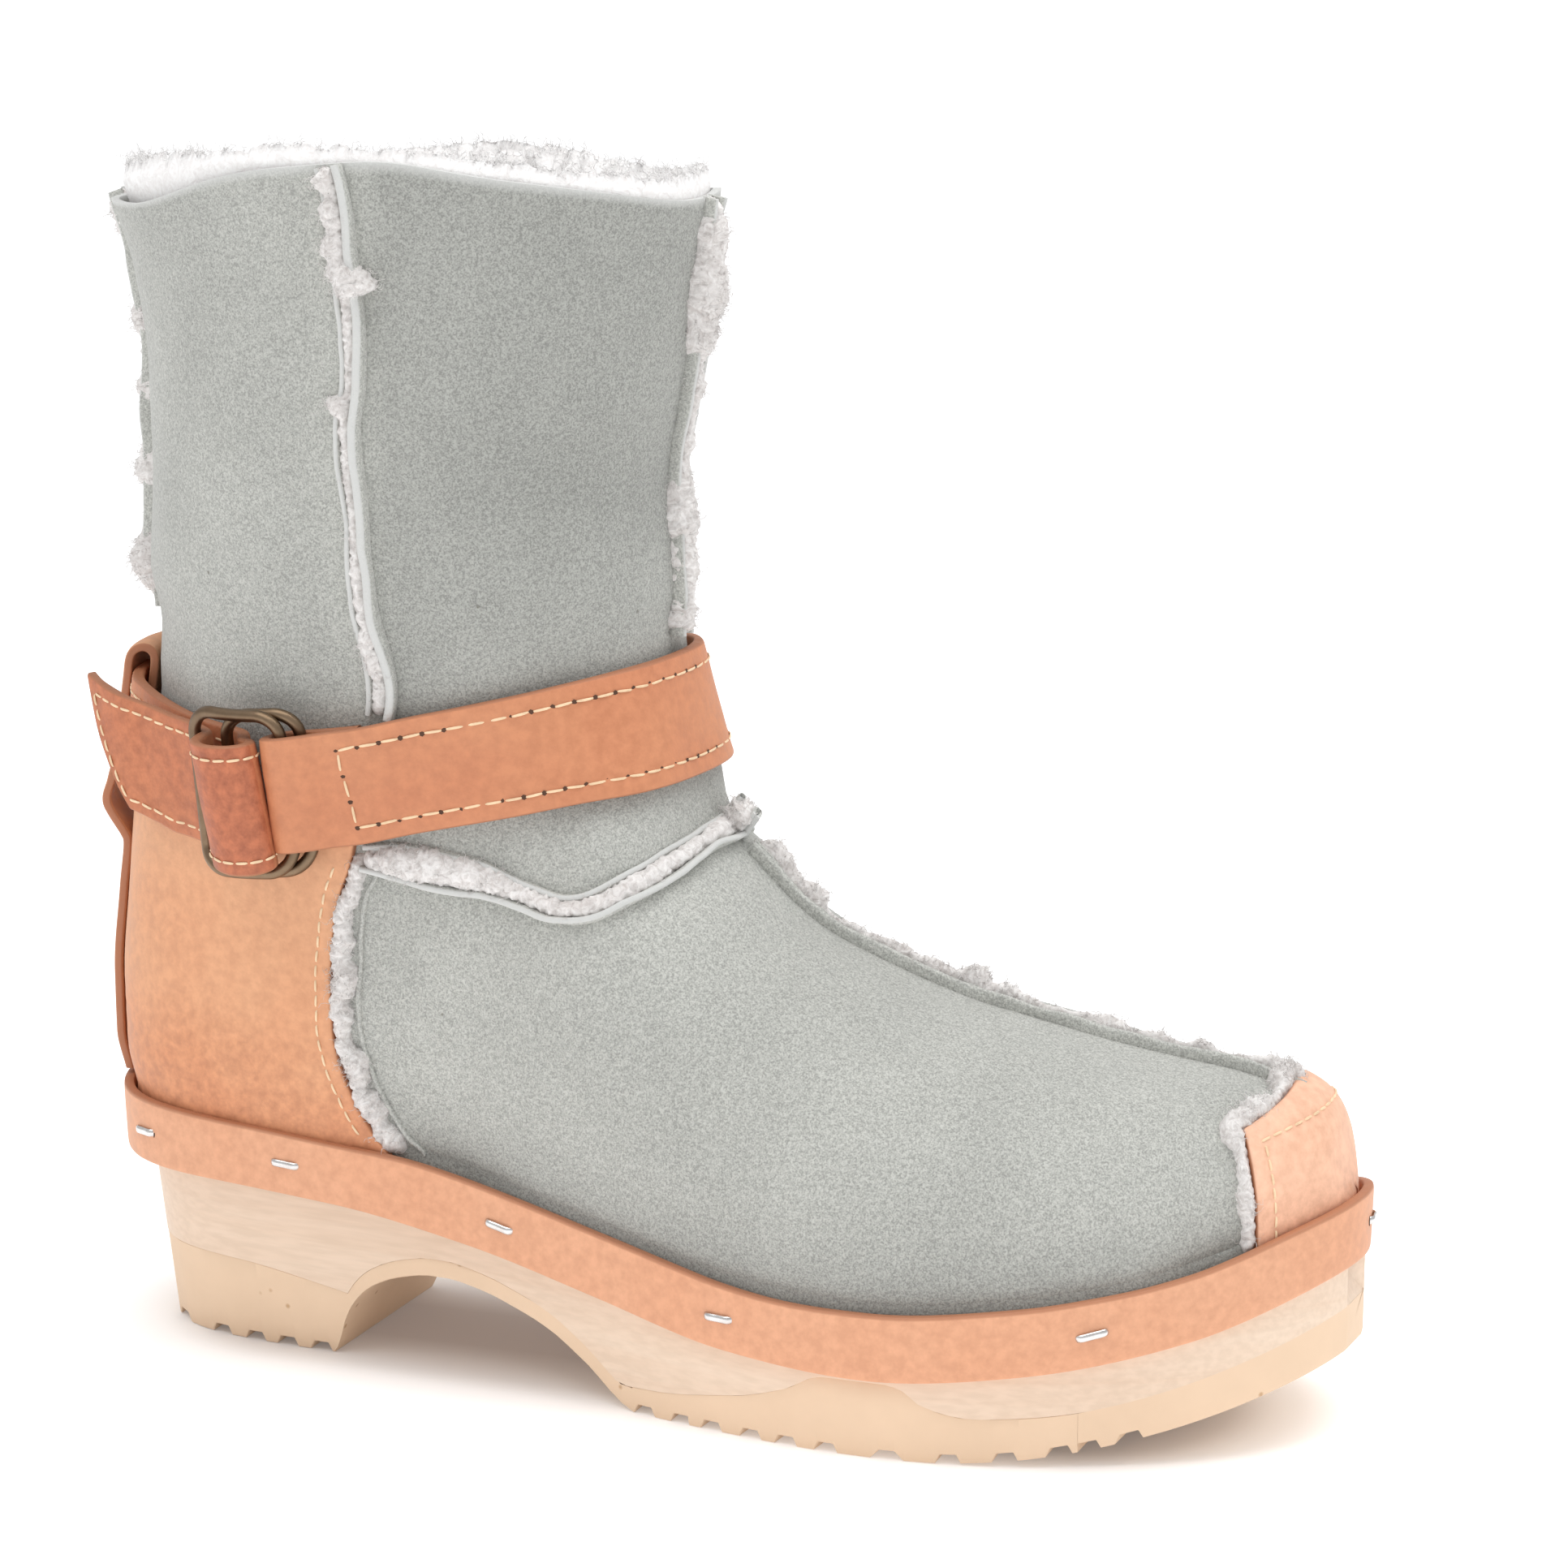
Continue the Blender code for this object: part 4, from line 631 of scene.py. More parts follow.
suedeSet = {"light": (0.51, 0.515, 0.482), "dark": (0.295, 0.30, 0.280), "rawEdge": (0.62, 0.625, 0.61)}
suede = newMaterial(
    "sageSuede", "suede", {"Light": suedeSet["light"], "Dark": suedeSet["dark"]}, (0.0004, 0.6), 0.95, Sheen_Weight=0.2,
    Sheen_Roughness=0.5,
)
# painted shade, read from the upper's attribute into the nap
readInto(suede, "paintedShade", "PaintedShade")
edgeTint(suede, "edge", suedeSet["rawEdge"])
leatherSet = {  # pale and deep tones, bump distance and strength, roughness
    "tanLeather": ((0.74, 0.39, 0.215), (0.66, 0.255, 0.12), (0.00012, 0.4), 0.55),
    "toeLeather": ((0.89, 0.55, 0.385), (0.78, 0.39, 0.235), (0.00012, 0.4), 0.55),
    "weltLeather": ((0.745, 0.388, 0.233), (0.70, 0.31, 0.165), (0.00012, 0.4), 0.55),
    "strapLeather": ((0.615, 0.258, 0.128), (0.53, 0.17, 0.08), (0.0002, 0.5), 0.5),
}
leathers = [
    newMaterial(name, "leather", {"Pale": pale, "Deep": deep}, bump, rough)
    for name, (pale, deep, bump, rough) in leatherSet.items()
]
leather, tabLeather, bandLeather, strapLeather = leathers
for made in leathers:
    readInto(made, "stain", "Stain")
    made[1].links.new(made[3].outputs["Roughness"], made[2].inputs["Roughness"])
    edgeTint(made, "edge", (0.42, 0.17, 0.085))
wood = newMaterial(
    "paleWood", "wood", {"Light": (0.805, 0.645, 0.507), "Dark": (0.763, 0.583, 0.441)}, (0.0001, 0.25), 0.5
)
rubber = newMaterial("beigeRubber", "rubber", {"Colour": (0.80, 0.595, 0.42)}, (0.0003, 0.4), 0.6)
# the lining's white fleece, and a darker copy of it for the wool in and round the seams, whose grey is painted shade as
# between the seams' edges
fleece, shadedFleece = (
    newMaterial(name, "fleece", {"Light": light, "Dark": dark, "Hollow": 1.0}, (depth, 0.5), 1.0, Sheen_Weight=0.3)
    for name, light, dark, depth in (
        ("fleece", (0.97, 0.965, 0.96), (0.80, 0.77, 0.76), 0.0006),
        ("shadedSeamFleece", (0.87, 0.85, 0.835), (0.54, 0.50, 0.48), 0.0005),
    )
)
# the last of these is the dark colour of painted shade in stitch holes and staple slots
thread, brass, steel, paintedHoleShade = (
    newMaterial(name, "leather", {"Pale": pale, "Deep": deep}, bump, rough, Metallic=metal)
    for name, pale, deep, bump, rough, metal in (
        ("creamThread", (0.88, 0.68, 0.45), (0.78, 0.55, 0.33), (0.00015, 0.5), 0.7, 0.0),
        ("oldBrass", (0.24, 0.17, 0.11), (0.07, 0.052, 0.042), (0.00005, 0.3), 0.38, 1.0),
        ("stapleSteel", (0.72, 0.72, 0.72), (0.55, 0.55, 0.56), (0.00003, 0.2), 0.25, 1.0),
        ("holeShade", (0.10, 0.05, 0.03), (0.05, 0.02, 0.012), (0.0001, 0.2), 0.9, 0.0),
    )
)
print("materials made")

# Upper: a grid round the foot and shaft, from behind the band to the collar
upperSet = {"columns": 400, "footRows": 52, "shaftRows": 46}
rimSet = {"wave": 0.0009, "bump": (0.0012, 0.080, 0.012), "dip": (0.0046, 0.022, 0.020), "rows": 8, "wall": 0.0017}


def skinGrid(columns, footRows, shaftRows):
    # rows of the upper's plain face: rays from the middle at even angles meet the form at each section's heights
    turn = np.arange(columns) * 2 * math.pi / columns
    line, out = around(turn)
    inset = line - out * lay(line[:, 0])[:, None]
    low = [np.column_stack([inset, weltBottom(line[:, 0]) + 0.001 + t * (bandWidth - 0.001)]) for t in (0, 0.5, 0.8, 1)]
    heel = np.linspace(0.012, 1.0, footRows)[:, None]
    frontX = smooth(footSections, "front", heel) * bootLength
    follow = smooth(footSections, "follow", heel)
    heelBase = boot["heelLift"] + bandWidth
    heelZ = heelBase + heel * (boot["ankleHeight"] - heelBase)
    rise = boot["ankleHeight"] - boot["ballLift"] - bandWidth
    frontZ = weltTop(frontX) + rise * smooth(crown, "rise", frontX / bootLength)

    def footHeight(x):
        # between a section's heights at the heel and at its front, following the band as far as the table says
        share = np.clip(x / frontX, 0, 1)
        chord = heelBase + (weltTop(frontX) - heelBase) * share
        return heelZ + (frontZ - heelZ) * share + follow * (weltTop(frontX * share) - chord)

    def cast(middle, reachX, reachY, height):
        # where the curves from a section's middle leave the form, by halving
        near = 0 * height(middle + 0 * reachX)
        far = near + 2.0
        for _ in range(26):
            t = (near + far) / 2
            x = middle + reachX * t
            y = reachY * t + centreLine(x)
            within = skinMeasure(x, y, height(x)) < 0
            near, far = np.where(within, t, near), np.where(within, far, t)
        return np.stack([x, y, height(x)], -1)

    foot = cast(frontX / 2, frontX / 2 * np.cos(turn), halfBall * np.sin(turn), footHeight)
    level = np.linspace(0.022, 1.0, shaftRows)[:, None]
    middle = boot["ankleHeight"] + level * (boot["height"] - boot["ankleHeight"])
    dip = level**3 * 0.0095
    medialDip = level**3 * 0.0085 * ease(np.sin(turn), 0.15, 0.9)

    def shaftHeight(x):
        # level, but dipping to the back and front and on the medial side
        share = (x / boot["collarLength"] - 0.52) / 0.52
        return middle - dip * share**2 - dip * 0.25 * np.clip(-share, 0, 1) - medialDip

    half = boot["collarLength"] / 2
    leg = cast(half + 0 * level, half * np.cos(turn), boot["collarWidth"] / 2 * np.sin(turn), shaftHeight)
    return np.concatenate([np.array(low), foot, leg])


skin = skinGrid(**upperSet)
outer, skinNormals = onSkin(skin)
outer[:4] = skin[:4]
flatOut = around(np.arange(upperSet["columns"]) * 2 * math.pi / upperSet["columns"])[1]
skinNormals[:4] = np.column_stack([flatOut, np.zeros(len(flatOut))])
rimX, rimY = outer[-1, :, 0], outer[-1, :, 1]
rimWave = rimSet["wave"] * softNoise(outer[-1] * np.array([1, 1, 0]), 0.030, 21)
bump, dip = (size * np.exp(-(((rimX - at) / spread) ** 2)) for size, at, spread in (rimSet["bump"], rimSet["dip"]))
rimWave += (bump - dip) * (rimY < 0)
outer[-rimSet["rows"]:, :, 2] += rimWave * np.linspace(0, 1, rimSet["rows"])[:, None]
inner = outer - skinNormals * rimSet["wall"]
inner[-1, :, 2] = outer[-1, :, 2]
points, faces = shell([inner, outer], True)
edge = np.zeros((2, *outer.shape[:2]))
edge[:, -1] = 1.0
edge[1, -1] = 0.75


def paintedShadeOf(p):
    # painted shade where less light falls on the suede: the shaft between its side and front seams, low by the band,
    # and beside the toe tab; the noise adds random tone
    x, y, z = np.moveaxis(p, -1, 0)
    shin = ease(z, 0.105, 0.135)
    panel = (0.40 + 0.22 * ease(z, 0.145, 0.185)) * ease(x, 0.071, 0.082) * shin
    panel = panel + 0.30 * (1 - ease(x, 0.06, 0.073)) * shin
    foot = (0.10 + 0.45 * np.exp(-(((z - weltTop(x)) / 0.011) ** 2))) * (1 - shin)
    low = 0.08 * (1 - ease(x, 0.20, 0.235)) * (1 - shin)
    return panel + foot + low + 0.10 * softNoise(p, 0.035, 25)


# painted shade on the inner and outer faces of the upper
paintedShade = np.stack([paintedShadeOf(inner), paintedShadeOf(outer)])
makePiece("upper_suede", points, faces, suede[0], ["upper"], {"edge": edge, "paintedShade": paintedShade})
print("upper made")

# Fleece lining: the same sections further in, swollen into curls and standing a little over the collar
liningSet = {"columns": 520, "footRows": 26, "shaftRows": 92, "depth": 0.0022, "curl": 0.0042, "over": 0.0026,
             "crowd": 0.0040, "backRows": 36}


def liningPiece():
    # inner face = upper's form - depth - size (mounds + noise), crowding near the rim and rounded over it
    grid = skinGrid(liningSet["columns"], liningSet["footRows"], liningSet["shaftRows"])[4:]
    out = skinOut(grid)
    base = grid - out * liningSet["depth"]
    mounds = 0.55 * curls(base, 0.0075, 31) + 0.45 * curls(base, 0.0031, 37)
    ragged = 0.30 * softNoise(base, 0.0013, 41)
    count, row = len(grid), np.arange(len(grid))[:, None]
    top = ease(row, count - 12, count - 1)
    crowd = liningSet["curl"] + liningSet["crowd"] * ease(row, count - 26, count - 4)
    crowd = crowd - (liningSet["crowd"] + 0.4 * liningSet["curl"]) * ease(row, count - 5, count - 1)
    swollen = base - out * (crowd * (mounds + ragged))[..., None]
    swollen[..., 2] += top * (liningSet["over"] * (0.15 + 1.25 * mounds + 0.8 * ragged))
    swollen += out * (0.0013 * top**3 * mounds)[..., None] * np.array([1, 1, 0])
    backing = base[np.linspace(0, count - 1, liningSet["backRows"]).astype(int)]
    columns = liningSet["columns"]
    start = count * columns
    faces = [gridFaces(count, columns, True), gridFaces(len(backing), columns, True, start)[:, ::-1]]
    ring = np.arange(columns)
    last, lastBack = start - columns, start + (len(backing) - 1) * columns
    for a, b, flip in ((ring, start + ring, True), (last + ring, lastBack + ring, False)):
        side = np.stack([a, np.roll(a, -1), np.roll(b, -1), b], 1)
        faces.append(side[:, ::-1] if flip else side)
    points = np.vstack([swollen.reshape(-1, 3), backing.reshape(-1, 3)])
    makePiece("fleece_lining", points, np.concatenate(faces), fleece[0], (), None, 180)
    ways = 0.5 * np.array([0, 0, 1]) - 0.5 * out[-12:]
    hairSeeds["rim"].append((swollen[-12:].reshape(-1, 3), ways.reshape(-1, 3), np.ones(12 * columns)))


hairSeeds = {"rim": [], "seams": []}  # points, directions and weights that loose wool grows from
liningPiece()
print("lining made")


# Fleece that pushes out of seams
def fleeceStrip(path, side, up, width, height, seed):
    # a half-round strip whose width and height vary along it, with curls pushed out of its face
    n, m = len(path), 26
    turn = np.arange(m) * 2 * math.pi / m
    taper = np.sqrt(np.clip(np.minimum(np.arange(n), np.arange(n)[::-1]) / 8, 0, 1))[:, None]
    across = np.cos(turn) * (width / 2)[:, None] * taper
    rise = (np.clip(np.sin(turn), -0.35, 1) * height[:, None]) * taper
    points, faces = sweep(path, side, up, across, rise)
    body = points[: n * m].reshape(n, m, 3)
    away = unit(side[:, None] * np.cos(turn)[None, :, None] + up[:, None] * np.sin(turn)[None, :, None])
    size = np.minimum(np.minimum(width, 2.2 * height), 0.0028)[:, None] * taper
    mounds = 0.8 * curls(body, 0.0026, seed) + 0.75 * curls(body, 0.0012, seed + 7) - 0.8
    body += away * (0.46 * size * mounds + 0.16 * size * softNoise(body, 0.0007, seed + 5))[..., None]
    points[: n * m] = body.reshape(-1, 3)
    return points, faces, body, away


def spillFleece(name, path, side, up, width, height, seed, puff):
    # a fleece strip as a piece, with seeds for loose wool that lie closer where it puffs out
    points, faces, body, away = fleeceStrip(path, side, up, width, height, seed)
    # in the darker fleece copy, whose grey is painted shade
    makePiece(name, points, faces, shadedFleece[0], (), None, 180)
    hairSeeds["seams"].append((body.reshape(-1, 3), away.reshape(-1, 3), np.repeat(0.3 + puff / mm, body.shape[1])))


def lip(path, side, up, at, tall, thick, seed, sway=0.0008):
    # a raw edge standing up beside a seam: a flattened oval profile that wanders from side to side
    n, m = len(path), 14
    turn = np.arange(m) * 2 * math.pi / m
    wave = sway * softNoise(path, 0.011, seed) + 0.35 * sway * softNoise(path, 0.0045, seed + 1)
    lifted = tall * (1 + 0.18 * softNoise(path, 0.007, seed + 2))
    rootDepth = 0.0008
    boxy = np.sign(np.sin(turn)) * np.abs(np.sin(turn)) ** 0.55
    upright = -np.sign(np.cos(turn)) * np.abs(np.cos(turn)) ** 0.8
    share = (upright + 1) / 2
    height = -rootDepth + share * (lifted + rootDepth)[:, None]
    across = at[:, None] + wave[:, None] * share + boxy * thick / 2
    points, faces = sweep(path, side, up, across, height)
    edge = np.tile(ease(share, 0.80, 0.97), (n, 1))
    return points, faces, np.r_[edge.ravel(), 0, 0]


def bumps(share, spots):
    # a sum of soft swellings: place along the seam, size and spread
    return sum((size * np.exp(-(((share - at) / spread) ** 4)) for at, size, spread in spots), 0 * share)


def raisedSeam(name, replaced, base, out, settings, seed):
    # two raw edges standing off the upper with fleece between them, which spills out at some places
    run = np.gradient(base, axis=0)
    side = unit(np.cross(run, out))
    up = unit(np.cross(side, run))
    share = np.linspace(0, 1, len(base))
    width = settings["width"] * (1 + 0.25 * softNoise(base, 0.016, seed)) + 0 * share
    if "widen" in settings:
        width = width + bumps(share, settings["widen"])
    lips, edges = [], []
    for way, tall, thick in zip((-1, 1), settings["tall"], settings["thick"]):
        p, f, e = lip(base, side, up, way * (width / 2 + thick / 2), tall, thick, seed + 5 + 5 * way)
        lips.append((p, f))
        edges.append(e)
    points, faces = joined(lips)
    values = {"edge": np.concatenate(edges) * settings.get("bare", 1.0)}
    makePiece(name, points, faces, suede[0], replaced, values, 60)
    spill = bumps(share, settings["spots"]) * mm
    puff = spill * np.clip(0.70 + 0.55 * softNoise(base, 0.0045, seed + 3), 0.1, None)
    aside = side * (np.interp(share, *zip(*settings.get("aside", [(0, 0)]))) * puff)[:, None]
    height = settings["fill"] + 0.70 * puff
    spillFleece(name + "_fleece", base + aside, side, up, width * 0.92 + 0.95 * puff, height, seed + 50, puff)


def sideSeam(rows, count, side=-1):
    # a seam drawn on the side of the boot by its places (x, z) in millimetres
    line = roundedPath(np.array(rows) * mm, count)
    return onSkin(sidePoint(line[:, 0], line[:, 1], side))


shaftSeam = {
    "rows": [(69.0, 246.0), (71.2, 236), (72.2, 226), (73.0, 214), (72.7, 204), (71.4, 196), (71.7, 188), (72.3, 178),
             (72.3, 168), (73.2, 158), (74.9, 150), (75.6, 143), (74.8, 137.5)],
    "width": 0.0026, "tall": (0.0031, 0.0017), "thick": (0.0021, 0.0012), "fill": 0.0012,
    "spots": [(0.01, 2.4, 0.03), (0.09, 2.4, 0.03), (0.145, 4.6, 0.025), (0.20, 6.0, 0.028), (0.43, 3.0, 0.016),
              (0.88, 1.8, 0.04)],
    "aside": [(0, 0.3), (0.145, 0.45), (0.17, 0.1), (0.21, -0.42), (0.3, -0.3), (0.4, 0.7), (0.5, 0.7), (0.6, 0.2)],
}
base, out = sideSeam(shaftSeam["rows"], 420)
raisedSeam("lateral_seam", ["shaft_lateral_seam"], base, out, shaftSeam, 101)
base, out = sideSeam([(69.0, 238.0), *shaftSeam["rows"][2:]], 420, 1)
medialSpots = {"spots": [(0.05, 2.0, 0.03), (0.45, 4.0, 0.05), (0.72, 2.4, 0.04)], "aside": [(0, 0.2)]}
raisedSeam("medial_seam", ["shaft_medial_seam"], base, out, {**shaftSeam, **medialSpots}, 131)


def endSeam(low, high, count, way):
    # a seam up the front or back of the shaft, from the collar down
    z = np.linspace(high, low, count)
    start = np.stack([0 * z + 0.52 * boot["collarLength"], 0.0022 * (way > 0) + 0 * z, z], -1)
    return onSkin(rayOut(start, np.array([way, 0.0, 0.0])))


frontSeam = {
    "width": 0.0022, "tall": (0.0030, 0.0026), "thick": (0.0013, 0.0013), "fill": 0.0026,
    "spots": [(0.09, 3.5, 0.05), (0.20, 6.4, 0.07), (0.31, 3.2, 0.04), (0.43, 2.0, 0.02), (0.55, 1.6, 0.02),
              (0.70, 4.0, 0.08), (0.84, 2.4, 0.05), (0.96, 2.6, 0.04)],
    "aside": [(0, 0.25)],
}
base, out = endSeam(0.1495, 0.2372, 380, 1.0)
raisedSeam("front_seam", ["shaft_front_seam"], base, out, frontSeam, 161)
backSeam = {**frontSeam, "spots": [(0.05, 2.5, 0.05), (0.30, 2.2, 0.04), (0.48, 1.6, 0.03), (0.66, 3.2, 0.05),
                                   (0.9, 4.5, 0.07)], "aside": [(0, -0.2)], "tall": (0.0028, 0.0024)}
base, out = endSeam(0.1480, 0.2335, 360, -1.0)
raisedSeam("back_seam", ["shaft_back_seam"], base, out, backSeam, 191)

# Vamp seam: two edges close together along the crown, wool showing behind them
x = np.linspace(0.1365, 0.2505, 520)
base = rayOut(np.stack([x, centreLine(x), weltTop(x) - 0.004], -1), np.array([0.0, 0.0, 1.0]))
base, out = onSkin(base)
vampSeam = {
    "width": 0.0004, "tall": (0.0020, 0.0025), "thick": (0.0013, 0.0014), "fill": 0.0017, "bare": 0.18,
    "aside": [(0, -0.95)],
    "spots": [(0.5, 1.5, 2.0), (0.03, 1.6, 0.04), (0.10, 1.9, 0.025), (0.17, 0.9, 0.03), (0.27, 0.8, 0.03),
              (0.33, 1.3, 0.03), (0.40, 1.9, 0.025), (0.46, 0.9, 0.02), (0.56, 0.5, 0.03), (0.66, 0.8, 0.03),
              (0.82, 0.6, 0.03), (0.92, 1.0, 0.04), (0.98, 1.9, 0.03)],
}
raisedSeam("vamp_ridge", ["vamp_seam"], base, out, vampSeam, 221)

# Ankle seam: from the counter's top forward under the strap's end to the instep, on both sides
ankleSeam = {
    "rows": [(69.5, 108.0), (77.7, 107.4), (91.7, 105.6), (103, 102.8), (110.7, 101.0), (118, 101.7), (125.2, 105.7),
             (131, 110.2), (136.6, 116.4)],
    "width": 0.0030, "tall": (0.0012, 0.0028), "thick": (0.0013, 0.0015), "fill": 0.0018,
    "spots": [(0.04, 1.4, 0.05), (0.16, 1.6, 0.08), (0.34, 1.4, 0.08), (0.97, 3.2, 0.05)],
    "widen": [(0.20, 0.0030, 0.17)],
}
base, out = sideSeam(ankleSeam["rows"], 400)
raisedSeam("ankle_ridge", ["ankle_seam"], base, out, ankleSeam, 251)
base, out = sideSeam(ankleSeam["rows"], 400, 1)
raisedSeam("ankle_ridge_medial", (), base, out, ankleSeam, 281)
print("seams made")


# Leather plates over the upper
def crowded(count, edgeLines, total):
    # shares from 0 to 1 with extra lines at given distances from both ends
    near = np.array(edgeLines) / total
    return np.r_[near, np.linspace(near[-1], 1 - near[-1], count)[1:-1], 1 - near[::-1]]


def edgeRise(rowShares, columnShares, height, width, radius=0.0007):
    # 1 on the face of a plate, falling over its edges
    t = np.minimum(rowShares, 1 - rowShares)[:, None] * height
    s = np.minimum(columnShares, 1 - columnShares)[None] * width
    near = np.clip(np.minimum(t, s) / radius, 0, 1)
    return np.sqrt(1 - (1 - near) ** 2)


def plate(name, replaced, skinPoints, out, thick, rise, lift, finish, stain):
    # a sheet of leather over the upper, its face falling at its edges
    inner = skinPoints + out * lift
    face = inner + out * (thick * (0.45 + 0.55 * rise))[..., None]
    points, faces = shell([inner, face], False)
    edge = np.concatenate([np.ones(rise.size), (1 - ease(rise, 0.2, 0.98)).ravel()])
    values = {"edge": edge, "stain": np.tile(stain.ravel(), 2)}
    makePiece(name, points, faces, finish[0], replaced, values, 60)


edgeLines = (0, 0.0001, 0.00022, 0.0004, 0.0007, 0.0012)
counterSet = {
    "axis": 0.058, "thick": 0.0021, "top": 0.0118, "front": table(
        "z x", (0.020, 0.0745), (0.0460, 0.0722), (0.0492, 0.0696), (0.0552, 0.0662), (0.0636, 0.0628),
        (0.0720, 0.0612), (0.0805, 0.0612), (0.0905, 0.0622), (0.1000, 0.0642), (0.1062, 0.0668), (0.115, 0.069)),
}


def counterGrid(rowShares, columnShares):
    # from the band up to the strap, and from one front edge round the heel to the other
    t, s = rowShares[:, None], (2 * columnShares - 1)[None]
    x = 0.03 + 0 * t * s
    for _ in range(5):
        low, high = weltTop(x) - 0.007, strapMiddle(x) - counterSet["top"]
        z = low + t * (high - low)
        front = smooth(counterSet["front"], "x", z)
        beside = np.abs(np.where(s < 0, sidePoint(front, z)[..., 1], sidePoint(front, z, 1)[..., 1]))
        turn = s * (math.pi / 2 + np.arctan((front - counterSet["axis"]) / beside))
        way = np.stack([-np.cos(turn), np.sin(turn), 0 * turn], -1)
        hit = rayOut(np.stack([0 * z + counterSet["axis"], 0 * z, z], -1), way)
        x = hit[..., 0]
    return hit


rowShares, columnShares = crowded(46, edgeLines, 0.07), crowded(170, edgeLines, 0.16)
grid = counterGrid(rowShares, columnShares)
out = skinOut(grid)
wrinkle = np.exp(-(((grid[..., 0] - 0.032) / 0.018) ** 2) - ((grid[..., 2] - 0.066) / 0.009) ** 2)
crease = 0.00030 * wrinkle * np.sin((grid[..., 2] - 0.25 * grid[..., 0]) / 0.00065 + 3 * softNoise(grid, 0.012, 61))
stain = 0.42 * (1 - ease(grid[..., 2], 0.050, 0.078)) + 0.22 * wrinkle + 0.2 * softNoise(grid, 0.022, 65)
sag = 0.0007 * softNoise(grid, 0.030, 63) + crease
rise = edgeRise(rowShares, columnShares, 0.07, 0.16)
plate("counter", ["heel_counter"], grid + out * sag[..., None], out, counterSet["thick"], rise, gap, leather, stain)

# Fleece and a thin raised edge of suede along the counter's front
counterFleece = {
    "spots": [(0.18, 0.6, 0.05), (0.30, 2.2, 0.05), (0.42, 3.4, 0.05), (0.53, 2.6, 0.04), (0.70, 2.4, 0.06),
              (0.84, 2.6, 0.05), (0.95, 2.0, 0.04)],
}
for side, label in ((-1, "lateral"), (1, "medial")):
    z = np.linspace(0.1085, 0.0455, 300)
    x = smooth(counterSet["front"], "x", z) + 0.0016 + 0.0008 * np.sin(z / 0.0021) * np.sin(z / 0.0057)
    base, out = onSkin(sidePoint(x, z, side))
    run = np.gradient(base, axis=0)
    across = unit(np.cross(run, out))
    across = across * np.sign(across[:, :1])
    share = np.linspace(0, 1, len(z))
    puff = bumps(share, counterFleece["spots"]) * mm * np.clip(0.75 + 0.6 * softNoise(base, 0.004, 73), 0.1, None)
    path, width, height = base + across * (0.35 * puff)[:, None], 0.0024 + 0.95 * puff, 0.0017 + 0.42 * puff
    spillFleece(f"counter_fleece_{label}", path, across, out, width, height, 71 + side, puff)
    x = smooth(counterSet["front"], "x", z) + 0.0058 + 0.0012 * softNoise(base, 0.02, 75)
    base, out = onSkin(sidePoint(x, z, side))
    across = unit(np.cross(np.gradient(base, axis=0), out))
    p, f, e = lip(base, across, out, 0 * z, 0.0007 + 0 * z, 0.0010, 77)
    makePiece(f"counter_ridge_{label}", p, f, suede[0], (), {"edge": e * 0.2}, 60)

# Toe tab: between its top edge over the toe and the band
tabSet = {"axis": (0.2250, 0.0065), "from": -45, "to": 56, "low": 0.0405, "corner": 0.0630, "top": 0.0678,
          "thick": 0.0020}


def tabGrid(rowShares, columnShares):
    # level rays from an upright axis, their angle by column, up to a top edge that is highest in the middle
    turn = np.radians(tabSet["from"] + (tabSet["to"] - tabSet["from"]) * columnShares)
    top = tabSet["corner"] + (tabSet["top"] - tabSet["corner"]) * np.cos(math.pi / 2 * (2 * columnShares - 1))
    z = tabSet["low"] + rowShares[:, None] * (top - tabSet["low"])[None]
    way = np.stack([np.cos(turn) + 0 * z, np.sin(turn) + 0 * z, 0 * z], -1)
    return rayOut(np.stack([tabSet["axis"][0] + 0 * z, tabSet["axis"][1] + 0 * z, z], -1), way)


rowShares, columnShares = crowded(40, edgeLines, 0.03), crowded(80, edgeLines, 0.07)
grid = tabGrid(rowShares, columnShares)
out = skinOut(grid)
bulge = 0.0004 * softNoise(grid, 0.02, 81)
rise = edgeRise(rowShares, columnShares, 0.03, 0.07)
stain = 0.35 * (1 - ease(rowShares, 0.25, 0.65))[:, None] + 0.15 * softNoise(grid, 0.012, 83)
plate("toe_cover", ["toe_tab"], grid + out * bulge[..., None], out, tabSet["thick"], rise, gap, tabLeather, stain)
lateralRim = resample(grid[:, 0], 120)
topRim = resample(grid[-1], 200)
medialRim = resample(grid[::-1, -1], 120)
loopRim = resample(np.vstack([lateralRim, topRim[1:], medialRim[1:]]), 420)
out = skinOut(loopRim)
across = unit(np.cross(np.gradient(loopRim, axis=0), out))
share = np.linspace(0, 1, len(loopRim))
puff = bumps(share, [(0.10, 0.8, 0.04), (0.28, 1.6, 0.05), (0.34, 2.4, 0.03), (0.50, 2.0, 0.06), (0.68, 1.4, 0.05)])
puff = puff * mm * np.clip(0.75 + 0.6 * softNoise(loopRim, 0.004, 87), 0.1, None)
outwards = across * np.sign(((loopRim - loopRim.mean(0)) * across).sum(1).mean())
path = loopRim + outwards * (0.0012 + 0.4 * puff)[:, None]
spillFleece("tab_fleece", path, across, out, 0.0018 + puff, 0.0016 + 0.5 * puff, 85, puff)
print("leather plates made")

# Welt band: a flat strip of leather round the sole's edge
bandSettings = {"columns": 760, "profile": 28, "corner": 0.22, "stand": 0.0004, "wave": 0.00025}


